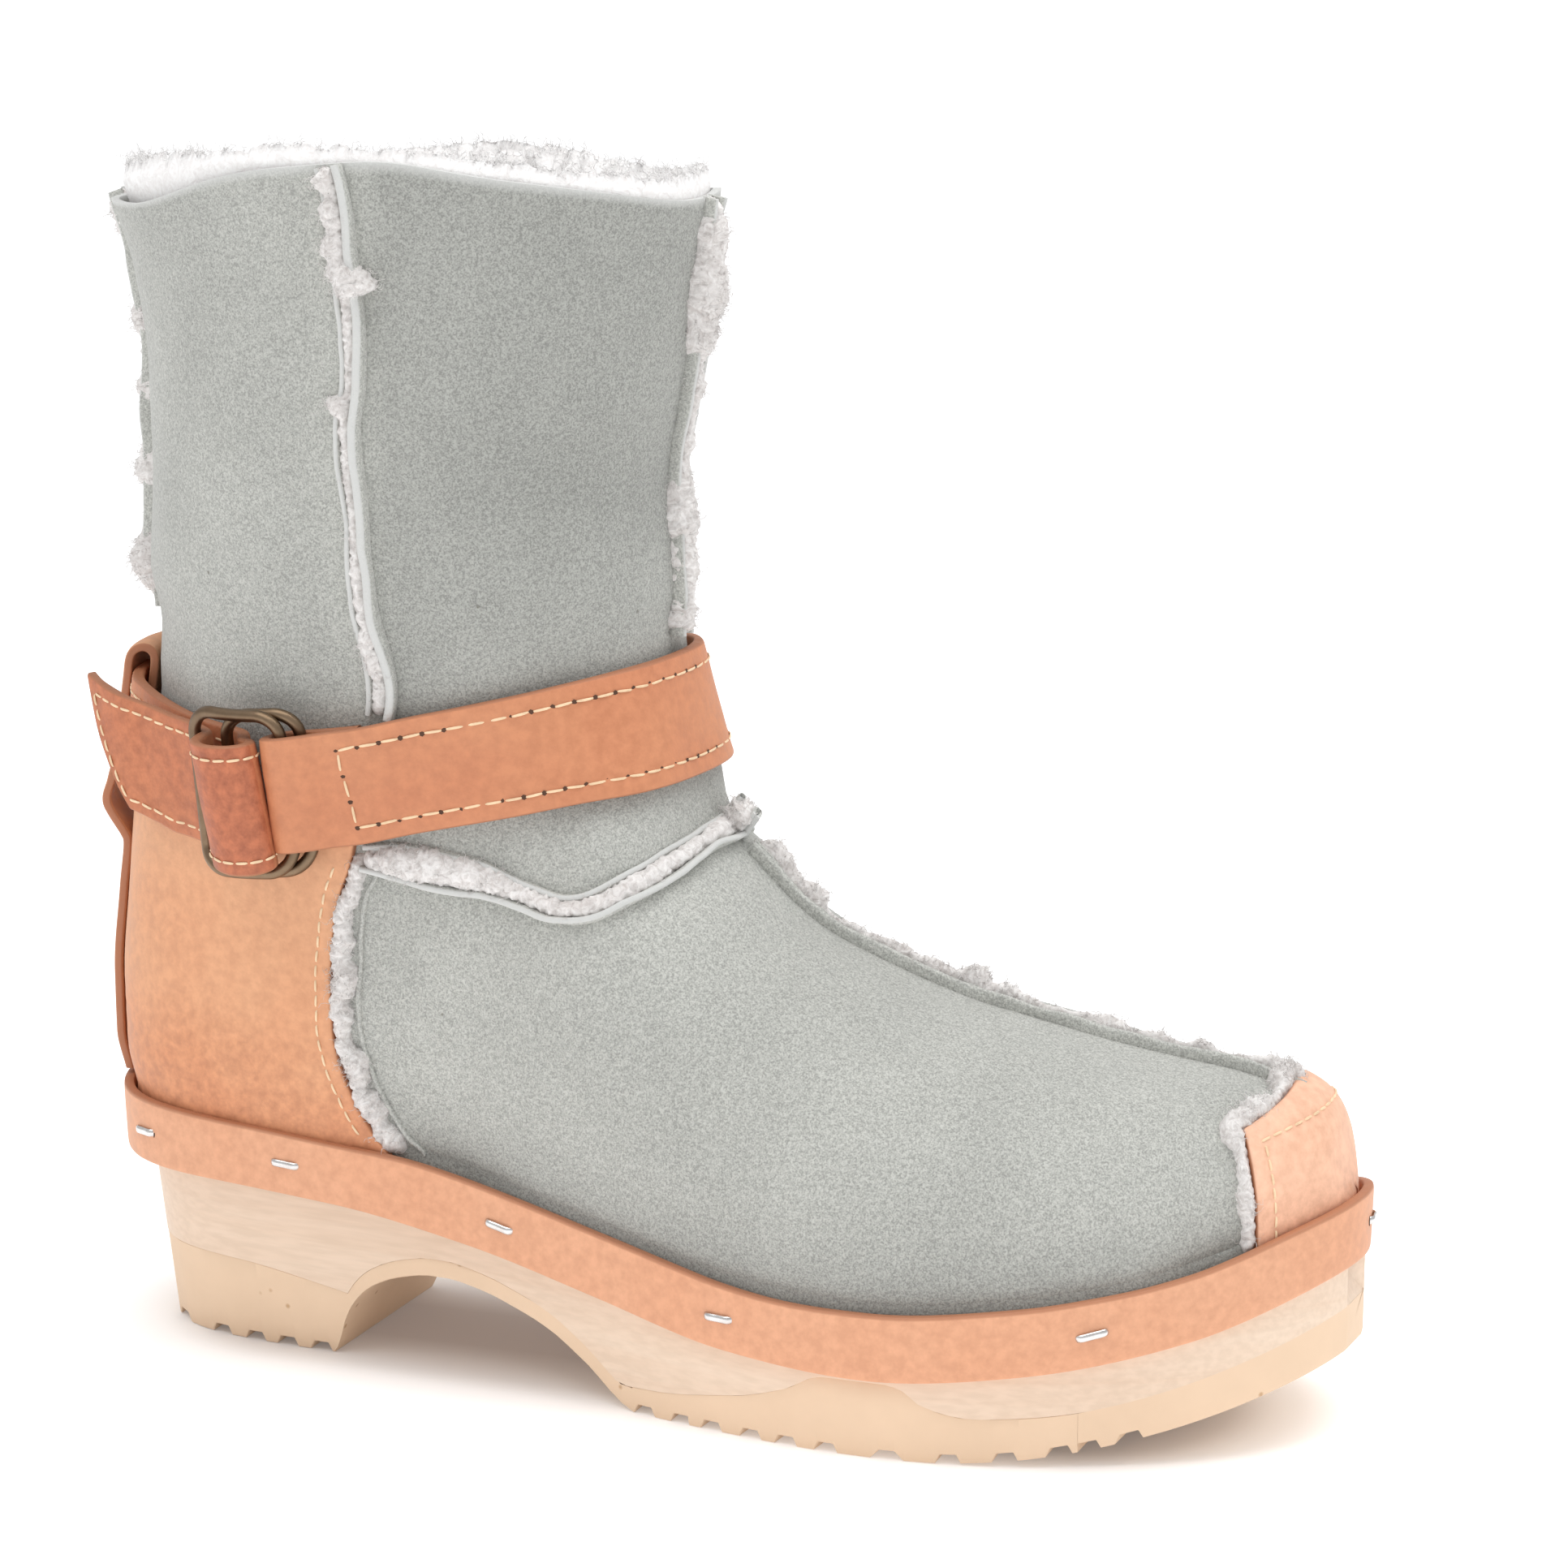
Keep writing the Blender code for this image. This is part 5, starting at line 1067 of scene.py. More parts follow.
def bandPiece():
    # a boxy oval |cos|^k, |sin|^k carried along the outline, its top edge standing off a little
    turn = np.arange(bandSettings["columns"]) * 2 * math.pi / bandSettings["columns"]
    line, out = around(turn)
    m, corner = bandSettings["profile"], bandSettings["corner"]
    angle = np.arange(m) * 2 * math.pi / m + math.pi / m
    across = np.sign(np.cos(angle)) * np.abs(np.cos(angle)) ** corner
    up = np.sign(np.sin(angle)) * np.abs(np.sin(angle)) ** corner
    x = line[:, 0]
    place = np.column_stack([line, 0 * x])
    lean = (up + 1)[None] / 2 * (bandSettings["stand"] * (1 + softNoise(place, 0.03, 91)))[:, None]
    half = boot["bandThick"] / 2
    xy = line[:, None] - out[:, None] * (half - across[None] * half - lean)[..., None]
    wave = bandSettings["wave"] * softNoise(place, 0.02, 93)[:, None]
    z = weltBottom(x)[:, None] + bandWidth / 2 + up[None] * bandWidth / 2 + wave * (1 + up[None])
    grid = np.concatenate([xy, z[..., None]], -1)
    edge = np.broadcast_to(ease(up, 0.80, 0.99) * 0.75 * (across < 0.95), grid.shape[:2])
    faces = loopFaces(*grid.shape[:2])
    makePiece("welt", grid, faces, bandLeather[0], ["welt_band"], {"edge": edge}, 60)


bandPiece()
print("welt made")

# Ankle strap: places are given by the run along its girth, forward from the buckle on the lateral side, by the
# distance off the upper and by the share of its width
strapSet = {
    "width": 0.0240, "thick": 0.0022, "gap": 0.0009, "wire": 0.0025, "ringHeight": 0.0350,
    "corner": 0.0050, "tail": 0.0350, "slant": 0.0150, "loopStand": 0.0065, "stayWidth": 0.0200, "stayThick": 0.0018,
    "round": 0.0006,
}
strapWidth, strapThick = strapSet["width"], strapSet["thick"]
girthAxis, buckleX = 0.52 * boot["collarLength"], 0.215 * bootLength
turns = np.linspace(0, 2 * math.pi, 720, endpoint=False)


def girthReach(turn, height, depth=0.0):
    # distances from the girth's axis to the upper along level rays, the height being a function of x
    way = np.stack([np.cos(turn), np.sin(turn), 0 * turn], -1)
    distance = girthAxis + 0 * turn
    for _ in range(4):
        start = np.stack([girthAxis + 0 * turn, 0 * turn, height(girthAxis + distance * np.cos(turn)) + 0 * turn], -1)
        hit = rayOut(start, way)
        distance = ((hit - start) * way).sum(-1)
    if depth:
        hit = hit + skinOut(hit) * depth
        distance = np.hypot(hit[..., 0] - girthAxis, hit[..., 1])
    return distance


across = np.linspace(-0.5, 0.5, 5)
reaches = np.array([girthReach(turns, lambda x, s=s: strapMiddle(x) + s * strapWidth) for s in across])
near = range(-15, 16, 3)
lowReach, highReach = (np.mean([np.roll(reaches[row], k) for k in near], axis=0) for row in (0, -1))
lift = (reaches - lowReach - (highReach - lowReach) * (across + 0.5)[:, None]).max(axis=0)
lift = np.max([np.roll(lift, k) for k in near], axis=0)
lift = np.mean([np.roll(lift, k) for k in near], axis=0)
edgeReach = {-0.5: lowReach + lift, 0.5: highReach + lift}


def girthPoints(share):
    # one edge of the strap round the ankle, -0.5 below and 0.5 above
    x = girthAxis + edgeReach[share] * np.cos(turns)
    return np.column_stack([x, edgeReach[share] * np.sin(turns), strapMiddle(x) + share * strapWidth])


lowerEdge, upperEdge = girthPoints(-0.5), girthPoints(0.5)
middleLine = (lowerEdge + upperEdge) / 2
girthRun = np.r_[0, np.cumsum(np.linalg.norm(np.roll(middleLine, -1, 0) - middleLine, axis=1))]
girthLength = girthRun[-1]
startAt = np.argmin(np.where(middleLine[:, 1] < 0, np.abs(middleLine[:, 0] - buckleX), 1.0))
run = np.roll(middleLine, -12, 0) - np.roll(middleLine, 12, 0)
girthOut = unit(np.stack([run[:, 1], -run[:, 0], 0 * run[:, 0]], 1))


def byStrap(along, off, share):
    # a place by its run along the girth, its distance off it and its share of the width
    at = (girthRun[startAt] + np.asarray(along, float)) % girthLength

    def read(values):
        ring = np.vstack([values, values[:1]])
        return np.stack([np.interp(at, girthRun, column) for column in ring.T], -1)

    share, off = np.asarray(share, float)[..., None], np.asarray(off, float)[..., None]
    return read(lowerEdge) * (0.5 - share) + read(upperEdge) * (0.5 + share) + read(girthOut) * off


def arc(centre, radius, start, stop, count):
    # points on part of a circle, its ends in degrees
    turn = np.radians(np.linspace(start, stop, count))
    return [(centre[0] + radius * math.cos(t), centre[1] + radius * math.sin(t)) for t in turn]


firstLayer, wire = strapSet["gap"] + strapThick / 2, strapSet["wire"] / 2
wireOff = strapSet["gap"] + strapThick + gap + wire
outerWireOff = wireOff + 2 * wire + gap
foldRadius = wire + 1.7 * gap + strapThick / 2
rearBar, frontBar = 0.0016, 0.0042
rollAt, rollRadius = (-0.0060, 0.0112), 0.0036
innerLeft = (-0.0104, 0.0076)
outerLeft = (-0.0176, 0.0088)
under = outerLeft[1] - wire - gap - strapThick / 2
loopRun = (girthRun[len(turns) // 2] - girthRun[startAt]) % girthLength
loopStep = strapSet["stayThick"] + gap
end = girthLength
strapRoute = [(0.0150, firstLayer), (0.0080, firstLayer)]
strapRoute += arc((rearBar, wireOff), foldRadius, 270, 180, 4) + arc((rearBar, outerWireOff), foldRadius, 180, 80, 4)
strapRoute += [
    (frontBar + 0.0014, wireOff + foldRadius + 0.0012), (0.0100, firstLayer + strapThick + 0.0018),
    (0.0160, firstLayer + strapThick + 0.0006), (0.0220, firstLayer + 0.0010), (0.0290, firstLayer),
    (0.0600, firstLayer), (0.1000, firstLayer), (loopRun - 0.0450, firstLayer), (loopRun - 0.0250, firstLayer + 0.0006),
    *((loopRun + along, firstLayer + loopStep) for along in (-0.0135, 0, 0.0135)),
    (loopRun + 0.0230, firstLayer + 0.0006), (loopRun + 0.0320, firstLayer), (end - 0.0240, firstLayer),
    (end - 0.0135, firstLayer), (end - 0.0105, firstLayer + 0.0007), (end - 0.0080, firstLayer + 0.0029),
]
strapRoute += arc((end + rollAt[0], rollAt[1]), rollRadius, -90, 90, 6)
strapRoute += [
    (end + rollAt[0] - 0.0030, 0.0150), (end + rollAt[0] - 0.0062, 0.0134), (end + rollAt[0] - 0.0080, 0.0104),
    (end + outerLeft[0] + 0.0022, under + 0.0012), (end + outerLeft[0] + 0.0002, under),
    (end + outerLeft[0] - 0.0020, under - 0.0004), (end + outerLeft[0] - 0.0075, under - 0.0006),
    (end + outerLeft[0] - 0.0165, under + 0.0012), (end + outerLeft[0] - 0.0225, under + 0.0040),
    (end + outerLeft[0] - strapSet["tail"] + 0.0012, under + 0.0076),
]
route = roundedPath(strapRoute, 900)
returned = np.arange(len(route)) > np.argmax(route[:, 0])
tailFrom = end + outerLeft[0] - 0.3 * strapSet["tail"]
free = returned * np.clip((tailFrom - route[:, 0]) / (0.7 * strapSet["tail"]), 0, 1)
routeRun = np.r_[0, np.cumsum(np.linalg.norm(np.diff(route, axis=0), axis=1))]
rolled = np.exp(-(((routeRun - routeRun[np.argmax(route[:, 0])] - 0.006) / 0.013) ** 2))


def roundedRect(halfAcross, halfUp, radius, flats, corner=5):
    # a rectangle with round corners, its long faces divided
    t = np.linspace(0, math.pi / 2, corner)
    c, s = radius * np.cos(t), radius * np.sin(t)
    a, b = halfAcross - radius, halfUp - radius
    top = np.linspace(a, -a, flats)[1:-1]
    across = np.r_[a + c, top, -a - s, -a - c, top[::-1], a + s]
    up = np.r_[b + s, 0 * top + halfUp, b + c, -b - s, 0 * top - halfUp, -b - c]
    return across, up


def strapPlace(at, share, height):
    # places on the strap: route index, share of width and height over its middle layer, on its grain side
    run = unit(np.gradient(route, axis=0))
    left = np.stack([-run[:, 1], run[:, 0]], 1)
    share = share * (1 + 0.12 * rolled[at])
    along = route[:, 0][at] + left[at, 0] * height - 0.0024 * rolled[at] * share
    off = route[:, 1][at] + left[at, 1] * height
    cut = along + strapSet["slant"] * free[at] * (0.5 - share)
    bent = np.interp(-cut, -route[returned, 0], route[returned, 1])
    off = np.where(free[at] > 0, bent + left[at, 1] * height, off)
    return byStrap(cut, off, share) + (0.0024 * free - 0.0022 * rolled)[at][..., None] * np.array([0.0, 0.0, 1.0])


def strapPiece():
    # a rounded rectangle carried along the route, its faces uneven by a little noise
    acrossMm, up = roundedRect(strapWidth / 2, strapThick / 2, strapSet["round"], 14)
    at = np.arange(len(route))[:, None] + 0 * np.arange(len(up))[None]
    share = acrossMm[None] / strapWidth + 0 * at
    height = up[None] + 0 * at
    grid = strapPlace(at, share, height)
    wobble = 0.00022 * softNoise(grid, 0.008, 95)
    middle = strapPlace(at, share, 0 * height)
    points, faces = capped(grid + unit(grid - middle) * wobble[..., None])
    side = ease(np.abs(acrossMm), strapWidth / 2 - 0.0006, strapWidth / 2 - 0.0001)[None] + 0 * at
    side[[0, -1]] = 1.0
    pastRing = end + outerLeft[0] - route[:, 0]
    worn = np.where(returned, 1 - 0.45 * ease(pastRing, -0.002, 0.006), 0.2)
    stain = np.clip(0.5 - up / strapThick, 0, 1)[None] * worn[:, None]
    values = {"edge": np.r_[side.ravel(), 1, 1], "stain": np.r_[stain.ravel(), 0.5, 0.5]}
    makePiece("strap", points, faces, strapLeather[0], ["ankle_strap"], values, 60)


strapPiece()


def tubeRound(path, away, radius, sides):
    # a closed loop of wire: a round section carried along it
    run = np.roll(path, -1, 0) - np.roll(path, 1, 0)
    away = unit(away)
    side = unit(np.cross(run, away))
    turn = (np.arange(sides) * 2 * math.pi / sides)[None, :, None]
    grid = path[:, None] + radius * (away[:, None] * np.cos(turn) + side[:, None] * np.sin(turn))
    return grid, loopFaces(len(path), sides)


def ringPiece(name, replaced, left, right):
    # a rounded rectangle of wire between two upright bars, its level bars bent to the ankle
    halfX, halfZ = (right[0] - left[0]) / 2, (strapSet["ringHeight"] - 2 * wire) / 2
    corner = strapSet["corner"]
    path = []
    for sx, sz, start in ((1, 1, 0), (-1, 1, 90), (-1, -1, 180), (1, -1, 270)):
        path += arc((sx * (halfX - corner), sz * (halfZ - corner)), corner, start, start + 90, 16)
    path = resample(np.array(path + path[:1]), 161)[:-1]
    acrossRing, up = path.T
    along = (left[0] + right[0]) / 2 + acrossRing
    off = left[1] + (right[1] - left[1]) * (acrossRing / halfX + 1) / 2
    off += 0.008 * np.clip(-up / strapWidth - 0.5, 0, None)
    line = byStrap(along, off, up / strapWidth)
    grid, faces = tubeRound(line, byStrap(along, off + wire, up / strapWidth) - line, wire, 18)
    makePiece(name, grid, faces, brass[0], [replaced], None, 60)


ringPiece("ring_inner", "buckle_ring_inner", innerLeft, (frontBar, wireOff))
ringPiece("ring_outer", "buckle_ring_outer", outerLeft, (rearBar, outerWireOff))

# Backstay: a strip up the counter's back seam, over the strap and folded in behind it
strapBackZ = middleLine[len(turns) // 2, 2]
stayThick = strapSet["stayThick"]
stayLow, stayIn = 2 * gap + stayThick / 2, gap + stayThick / 2
stayOut = strapSet["gap"] + loopStep + strapThick + 2 * gap + stayThick / 2
loopRadius = (stayOut - stayIn) / 2
stayRoute = [(z, stayLow) for z in (float(weltTop(0.0)) + 0.0012, 0.060, 0.075, 0.090, 0.100)]
stayRoute += [
    (strapBackZ - strapWidth / 2 - 0.0115, stayLow + 0.0006), (strapBackZ - strapWidth / 2 - 0.0034, stayOut + 0.0006),
    (strapBackZ - strapWidth / 4, stayOut), (strapBackZ + strapWidth / 4, stayOut),
    (strapBackZ + strapWidth / 2 - 0.0020, stayOut),
]
stayRoute += [
    (z + strapBackZ + strapWidth / 2, off) for off, z in arc((stayIn + loopRadius, 0.0012), loopRadius, 0, 180, 7)
]
stayRoute += [(strapBackZ, stayIn), (strapBackZ - strapWidth / 2 + 0.0006, stayIn)]
stay = roundedPath(stayRoute, 300)


def backstayPiece():
    # a rounded rectangle carried up the back, on the counter below and on the strap's girth above
    acrossMm, up = roundedRect(strapSet["stayWidth"] / 2, stayThick / 2, 0.0005, 14)
    turn = math.pi + acrossMm / (girthAxis - middleLine[len(turns) // 2, 0])
    run = unit(np.gradient(stay, axis=0))
    left = np.stack([-run[:, 1], run[:, 0]], 1)
    height = stay[:, 0][:, None] + left[:, 0][:, None] * up[None]
    off = stay[:, 1][:, None] + left[:, 1][:, None] * up[None]
    low, high = (np.interp(turn, turns, edgeReach[share]) for share in (-0.5, 0.5))
    strapLow = strapBackZ - strapWidth / 2
    bare = girthReach(turn[None] + 0 * height, lambda x: height, gap + boot["counterThick"])
    under = low + (high - low) * (height - strapLow) / strapWidth
    distance = bare + (under - bare) * ease(height, strapLow - strapSet["loopStand"], strapLow)
    out = np.stack([np.cos(turn), np.sin(turn)], -1)
    xy = np.array([girthAxis, 0.0]) + out * (distance + off)[..., None]
    points, faces = capped(np.concatenate([xy, height[..., None]], -1))
    side = ease(np.abs(acrossMm), strapSet["stayWidth"] / 2 - 0.0005, strapSet["stayWidth"] / 2)[None] + 0 * height
    values = {"edge": np.r_[side.ravel(), 1, 1]}
    makePiece("backstay", points, faces, leather[0], ["backstay_loop"], values, 60)


backstayPiece()
print("strap, rings and backstay made")

# Sole: cross sections from heel to toe, with extra ones at the grooves and the arch
soleSet = {
    "heelTaper": 0.0098, "heelSide": 0.0055, "foreTaper": 0.0034, "foreSide": 0.0026, "footbed": 0.0092,
    "dish": 0.0022, "cover": 0.0037, "archStart": 0.0556, "archLength": 0.0710, "archRise": 0.0201,
    "groove": 0.0034, "flare": 0.0008, "depth": 0.0018, "ledge": 0.0007,
}
grooves = table(
    "along turn", (0.064, 0), (0.108, 0), (0.140, 0), (0.169, 0), (0.199, 0), (0.492, 0), (0.525, 0), (0.560, 3),
    (0.594, 3), (0.627, 4), (0.660, 4), (0.696, 0), (0.730, -4), (0.766, -6), (0.810, -4), (0.839, 0), (0.867, 0),
)


def sideInset(x, z):
    # how far the side of the sole stands in from the band
    fore = ease(x, 0.23 * bootLength, 0.53 * bootLength)
    down = np.clip(1 - z / weltBottom(x), 0, 1)
    heel = soleSet["heelSide"] + (soleSet["heelTaper"] - soleSet["heelSide"]) * down
    ball = soleSet["foreSide"] + (soleSet["foreTaper"] - soleSet["foreSide"]) * down
    return heel * (1 - fore) + ball * fore * (1 - 0.6 * ease(x, 0.85 * bootLength, 0.97 * bootLength))


def archLine(x):
    # underside over the arch's opening, 0 outside it
    return soleSet["archRise"] * smooth(arch, "rise", (x - soleSet["archStart"]) / soleSet["archLength"])


def rubberTop(x, lipShare=1.0):
    # upper face of the rubber: its thickness over the tread, and at least its cover over the arch
    along = x / bootLength
    thick = boot["ballLift"] * (smooth(rubberLine, "thick", along) + lipShare * smooth(rubberLine, "lip", along))
    return np.maximum(tread(x) + thick, archLine(x) + soleSet["cover"])


def sectionRows(first, last, grooved=True):
    # places of the sections along the sole, how much they turn, and how deep a groove is there
    x = first + (last - first) * (1 - np.cos(np.linspace(0.0, math.pi, 150))) / 2
    rows = [np.column_stack([x, 0 * x, 0 * x])]
    breast = np.r_[soleSet["archStart"] - 0.0003, soleSet["archStart"] + np.linspace(0.0, 0.010, 16)]
    rows.append(np.column_stack([breast, 0 * breast, 0 * breast]))
    if grooved:
        top, foot = soleSet["groove"] / 2, soleSet["groove"] / 2 + soleSet["flare"]
        near = np.array([-foot - 0.0002, -foot, -top, -top + 0.0002, top - 0.0002, top, foot, foot + 0.0002])
        deep = np.array([0, 0, 0.92, 1, 1, 0.92, 0, 0])
        for along, turned in zip(*grooves.values()):
            place = along * bootLength
            rows[0] = rows[0][np.abs(rows[0][:, 0] - place) > foot + 0.0022]
            rows.append(np.column_stack([place + near, 0 * near + math.radians(turned), deep]))
    rows = np.vstack(rows)
    rows = rows[np.argsort(rows[:, 0], kind="stable")]
    plain = rows[:, 1] == 0
    known = np.r_[0, grooves["along"] * bootLength, bootLength]
    turned = np.interp(rows[:, 0], known, np.radians(np.r_[0, grooves["turn"], 0]))
    rows[:, 1] = np.where(plain & (rows[:, 2] == 0), turned, rows[:, 1])
    return rows


def sectionEnds(rows, inset):
    # where each section's line meets the two sides of the outline, as fractional places on it
    line = outline - outlineOut * inset(outline[:, 0])[:, None]
    toe, heel = np.argmax(line[:, 0]), np.argmin(line[:, 0])
    found = []
    for first, last in ((heel, toe), (toe, heel)):
        index = first + np.arange((last - first) % 900 + 1)
        pts = line[index % 900]
        if first == toe:
            index, pts = index[::-1], pts[::-1]
        places = [np.interp(x, pts[:, 0] - (pts[:, 1]) * math.tan(turn), index) for x, turn, _ in rows]
        found.append(np.array(places))
    return found


def onOutline(place):
    # outline and outward normals between their points
    i = np.floor(place).astype(int)
    t = (place - i)[:, None]
    line, out = (v[i % 900] * (1 - t) + v[(i + 1) % 900] * t for v in (outline, outlineOut))
    return line, unit(out)


def soleBody(name, replaced, finish, rows, sideHeights, lowFace, highFace, insets, acrossCount=19):
    # closed sections: across the underside, up the medial side, back over the top and down the lateral side
    ends = sectionEnds(rows, lambda x: insets(x, lowFace(x, x * 0, None), 0))
    shares = (1 - np.cos(np.linspace(0, math.pi, acrossCount))) / 2
    sides = []
    for place in ends:
        base, out = onOutline(place)
        x = base[:, 0]
        levels = []
        for level in sideHeights:
            z, extra = level(x, rows)
            levels.append(np.column_stack([base - out * (insets(x, z, level) + extra)[:, None], z]))
        sides.append(np.stack(levels, 1))
    lateral, medial = sides
    low = lateral[:, 0][:, None] + (medial[:, 0] - lateral[:, 0])[:, None] * shares[None, :, None]
    low[..., 2] = lowFace(low[..., 0], shares[None] + 0 * low[..., 0], rows)
    high = medial[:, -1][:, None] + (lateral[:, -1] - medial[:, -1])[:, None] * shares[None, :, None]
    high[..., 2] = highFace(high[..., 0], shares[None] + 0 * high[..., 0])
    points, faces = capped(np.concatenate([low, medial[:, 1:-1], high, lateral[:, ::-1][:, 1:-1]], 1))
    makePiece(name, points, faces, finish, replaced, None, 38)


def groundLine(x, rows):
    # underside of the rubber, with the grooves' depth at their sections
    return np.maximum(tread(x), archLine(x)) + (0 if rows is None else soleSet["depth"] * rows[:, 2])


rubberRows = sectionRows(0.0102, 0.2624)
rubberLevels = [
    lambda x, r: (groundLine(x, r), 0.0002 + 0 * x),
    lambda x, r: (groundLine(x, r) + 0.0003, 0 * x),
    *[lambda x, r, t=t: (groundLine(x, r) * (1 - t) + rubberTop(x) * t, 0 * x) for t in (0.25, 0.5, 0.75)],
    lambda x, r: (rubberTop(x) - 0.0002, 0 * x),
    lambda x, r: (rubberTop(x), 0.0001 + 0 * x),
]
soleBody(
    "rubber_outsole", ["outsole"], rubber[0], rubberRows, rubberLevels,
    lambda x, share, r: groundLine(x, None) + (0 if r is None else soleSet["depth"] * r[:, 2][:, None]),
    lambda x, share: rubberTop(x, np.clip(1 - 10 * np.minimum(share, 1 - share), 0, 1)),
    lambda x, z, level: sideInset(x, z),
)


def woodInset(x, z, level):
    # the side of the sole, and over the rebate's ledge the inside of the upper
    inside = z > weltBottom(x) + soleSet["ledge"] + 0.0002
    rebate = lay(x) + boot["upperThick"] + gap
    return np.where(inside, rebate, sideInset(x, z))


woodLevels = [
    lambda x, r: (rubberTop(x) + 0.00006, 0 * x),
    *[lambda x, r, t=t: (rubberTop(x) * (1 - t) + weltBottom(x) * t, 0 * x) for t in (0.2, 0.4, 0.6, 0.8, 0.98)],
    lambda x, r: (weltBottom(x) + soleSet["ledge"], 0 * x),
    lambda x, r: (weltBottom(x) + soleSet["ledge"] + 0.0003, 0 * x),
    lambda x, r: (weltBottom(x) + soleSet["footbed"], 0.001 + 0 * x),
]
soleBody(
    "wooden_sole", ["wood_sole"], wood[0], sectionRows(0.0081, 0.2624, False), woodLevels,
    lambda x, share, r: rubberTop(x, np.clip(1 - 10 * np.minimum(share, 1 - share), 0, 1)) + 0.00006,
    lambda x, share: weltBottom(x) + soleSet["footbed"] - soleSet["dish"] * 4 * share * (1 - share),
    woodInset,
)


def insoleTop(x, share):
    # the footbed's dish with small mounds of wool, flatter at the sides
    z = weltBottom(x) + soleSet["footbed"] + gap - soleSet["dish"] * 4 * share * (1 - share)
    spot = np.stack([x, 0.05 * share, 0 * x], -1)
    return z + 0.0040 + 0.0022 * curls(spot, 0.0075, 97) * np.clip(8 * np.minimum(share, 1 - share), 0, 1)


insoleLevels = [
    lambda x, r: (weltBottom(x) + soleSet["footbed"] + gap, 0 * x),
    lambda x, r: (weltBottom(x) + soleSet["footbed"] + gap + 0.0038, 0.0006 + 0 * x),
]
soleBody(
    "fleece_insole", ["insole"], fleece[0], sectionRows(0.0118, 0.2534, False), insoleLevels,
    lambda x, share, r: weltBottom(x) + soleSet["footbed"] + gap - soleSet["dish"] * 4 * share * (1 - share),
    insoleTop,
    lambda x, z, level: lay(x) + boot["upperThick"] + gap + 0.0016,
    61,
)
print("sole made")

# Staples: flattened wire, its ends turned down into the band
stapleSet = {"length": 0.0064, "width": 0.00078, "thick": 0.0004, "rise": 0.00055, "leg": 0.0011, "turned": 5,
             "along": (0.054, 0.19, 0.371, 0.564, 0.845), "toe": (0.9985, 1)}
staplePlaces = [(share, side) for side in (-1, 1) for share in stapleSet["along"]] + [stapleSet["toe"]]


def staplePiece(number, share, side):
    # an oval wire carried over the band and down at both ends, and a dark dish round each end: painted shade where the
    # wire goes into the leather
    mine = np.sign(outline[:, 1]) == side
    nearest = np.argmin(np.where(mine, np.abs(outline[:, 0] - share * bootLength), 1.0))
    x, y = outline[nearest]
    out = outlineOut[nearest]
    along = np.array([-out[1], out[0]])
    slope = float(weltBottom(x + along[0] * 0.002) - weltBottom(x - along[0] * 0.002)) / 0.004
    longWay = unit(np.array([*along, slope]))
    deep = np.array([*out, 0.0])
    tall = np.cross(longWay, deep)
    tilt = math.radians(float(rng.uniform(-stapleSet["turned"], stapleSet["turned"])))
    longWay, tall = longWay * math.cos(tilt) + tall * math.sin(tilt), tall * math.cos(tilt) - longWay * math.sin(tilt)
    half = stapleSet["length"] / 2
    leg, rise = stapleSet["leg"], stapleSet["rise"]
    path = roundedPath([(-half, -leg), (-half + 0.00015, -0.0002), (-half + 0.0008, rise), (0, rise + 0.0001),
                        (half - 0.0008, rise), (half - 0.00015, -0.0002), (half, -leg)], 44)
    centre = np.array([x, y, float(weltBottom(x)) + bandWidth / 2])
    line = centre + longWay * path[:, :1] + deep * path[:, 1:]
    run = unit(np.gradient(line, axis=0))
    sideWay = np.broadcast_to(tall, line.shape)
    up = unit(np.cross(sideWay, run))
    turn = np.arange(12) * 2 * math.pi / 12
    across = stapleSet["width"] * np.cos(turn)[None] + 0 * path[:, :1]
    height = stapleSet["thick"] * np.sin(turn)[None] + 0 * path[:, :1]
    wirePoints, wireFaces = sweep(line, sideWay, up, across, height)
    makePiece(f"staple_wire_{number:02d}", wirePoints, wireFaces, steel[0], [f"staple_{number:02d}"])
    slots = []
    for way in (-1, 1):
        spot = centre + longWay * way * (half - 0.0001) + deep * 0.00004
        ring = spot + 0.00095 * longWay * np.cos(turn)[:, None] * 0.8 + 0.0011 * tall * np.sin(turn)[:, None]
        points = np.vstack([ring - deep * 0.0003, ring, [spot + deep * 0.00006], [spot - deep * 0.0003]])
        index = np.arange(12)
        wallFaces = np.stack([index, np.roll(index, -1), np.roll(index, -1) + 12, index + 12], 1)
        slots.append((points, [wallFaces, fan(24, index + 12), fan(25, index)[:, ::-1]]))
    return slots


# painted shade at both ends of each staple, joined as one piece
slotShadeParts = []
for number, (share, side) in enumerate(staplePlaces, start=1):
    slotShadeParts += staplePiece(number, share, side)
points, faces = joined(slotShadeParts)
makePiece("staple_slot_shade", points, faces, paintedHoleShade[0])
print("staples made")


# Stitches: rounded grains of thread in a row, each dipping at both ends, some with dark holes between them, drawn as
# dark discs of painted shade
threadSet = {"radius": 0.00027, "tilt": 0.05, "share": 0.84, "hole": 0.00056}
threadParts, holeShadeParts = [], []


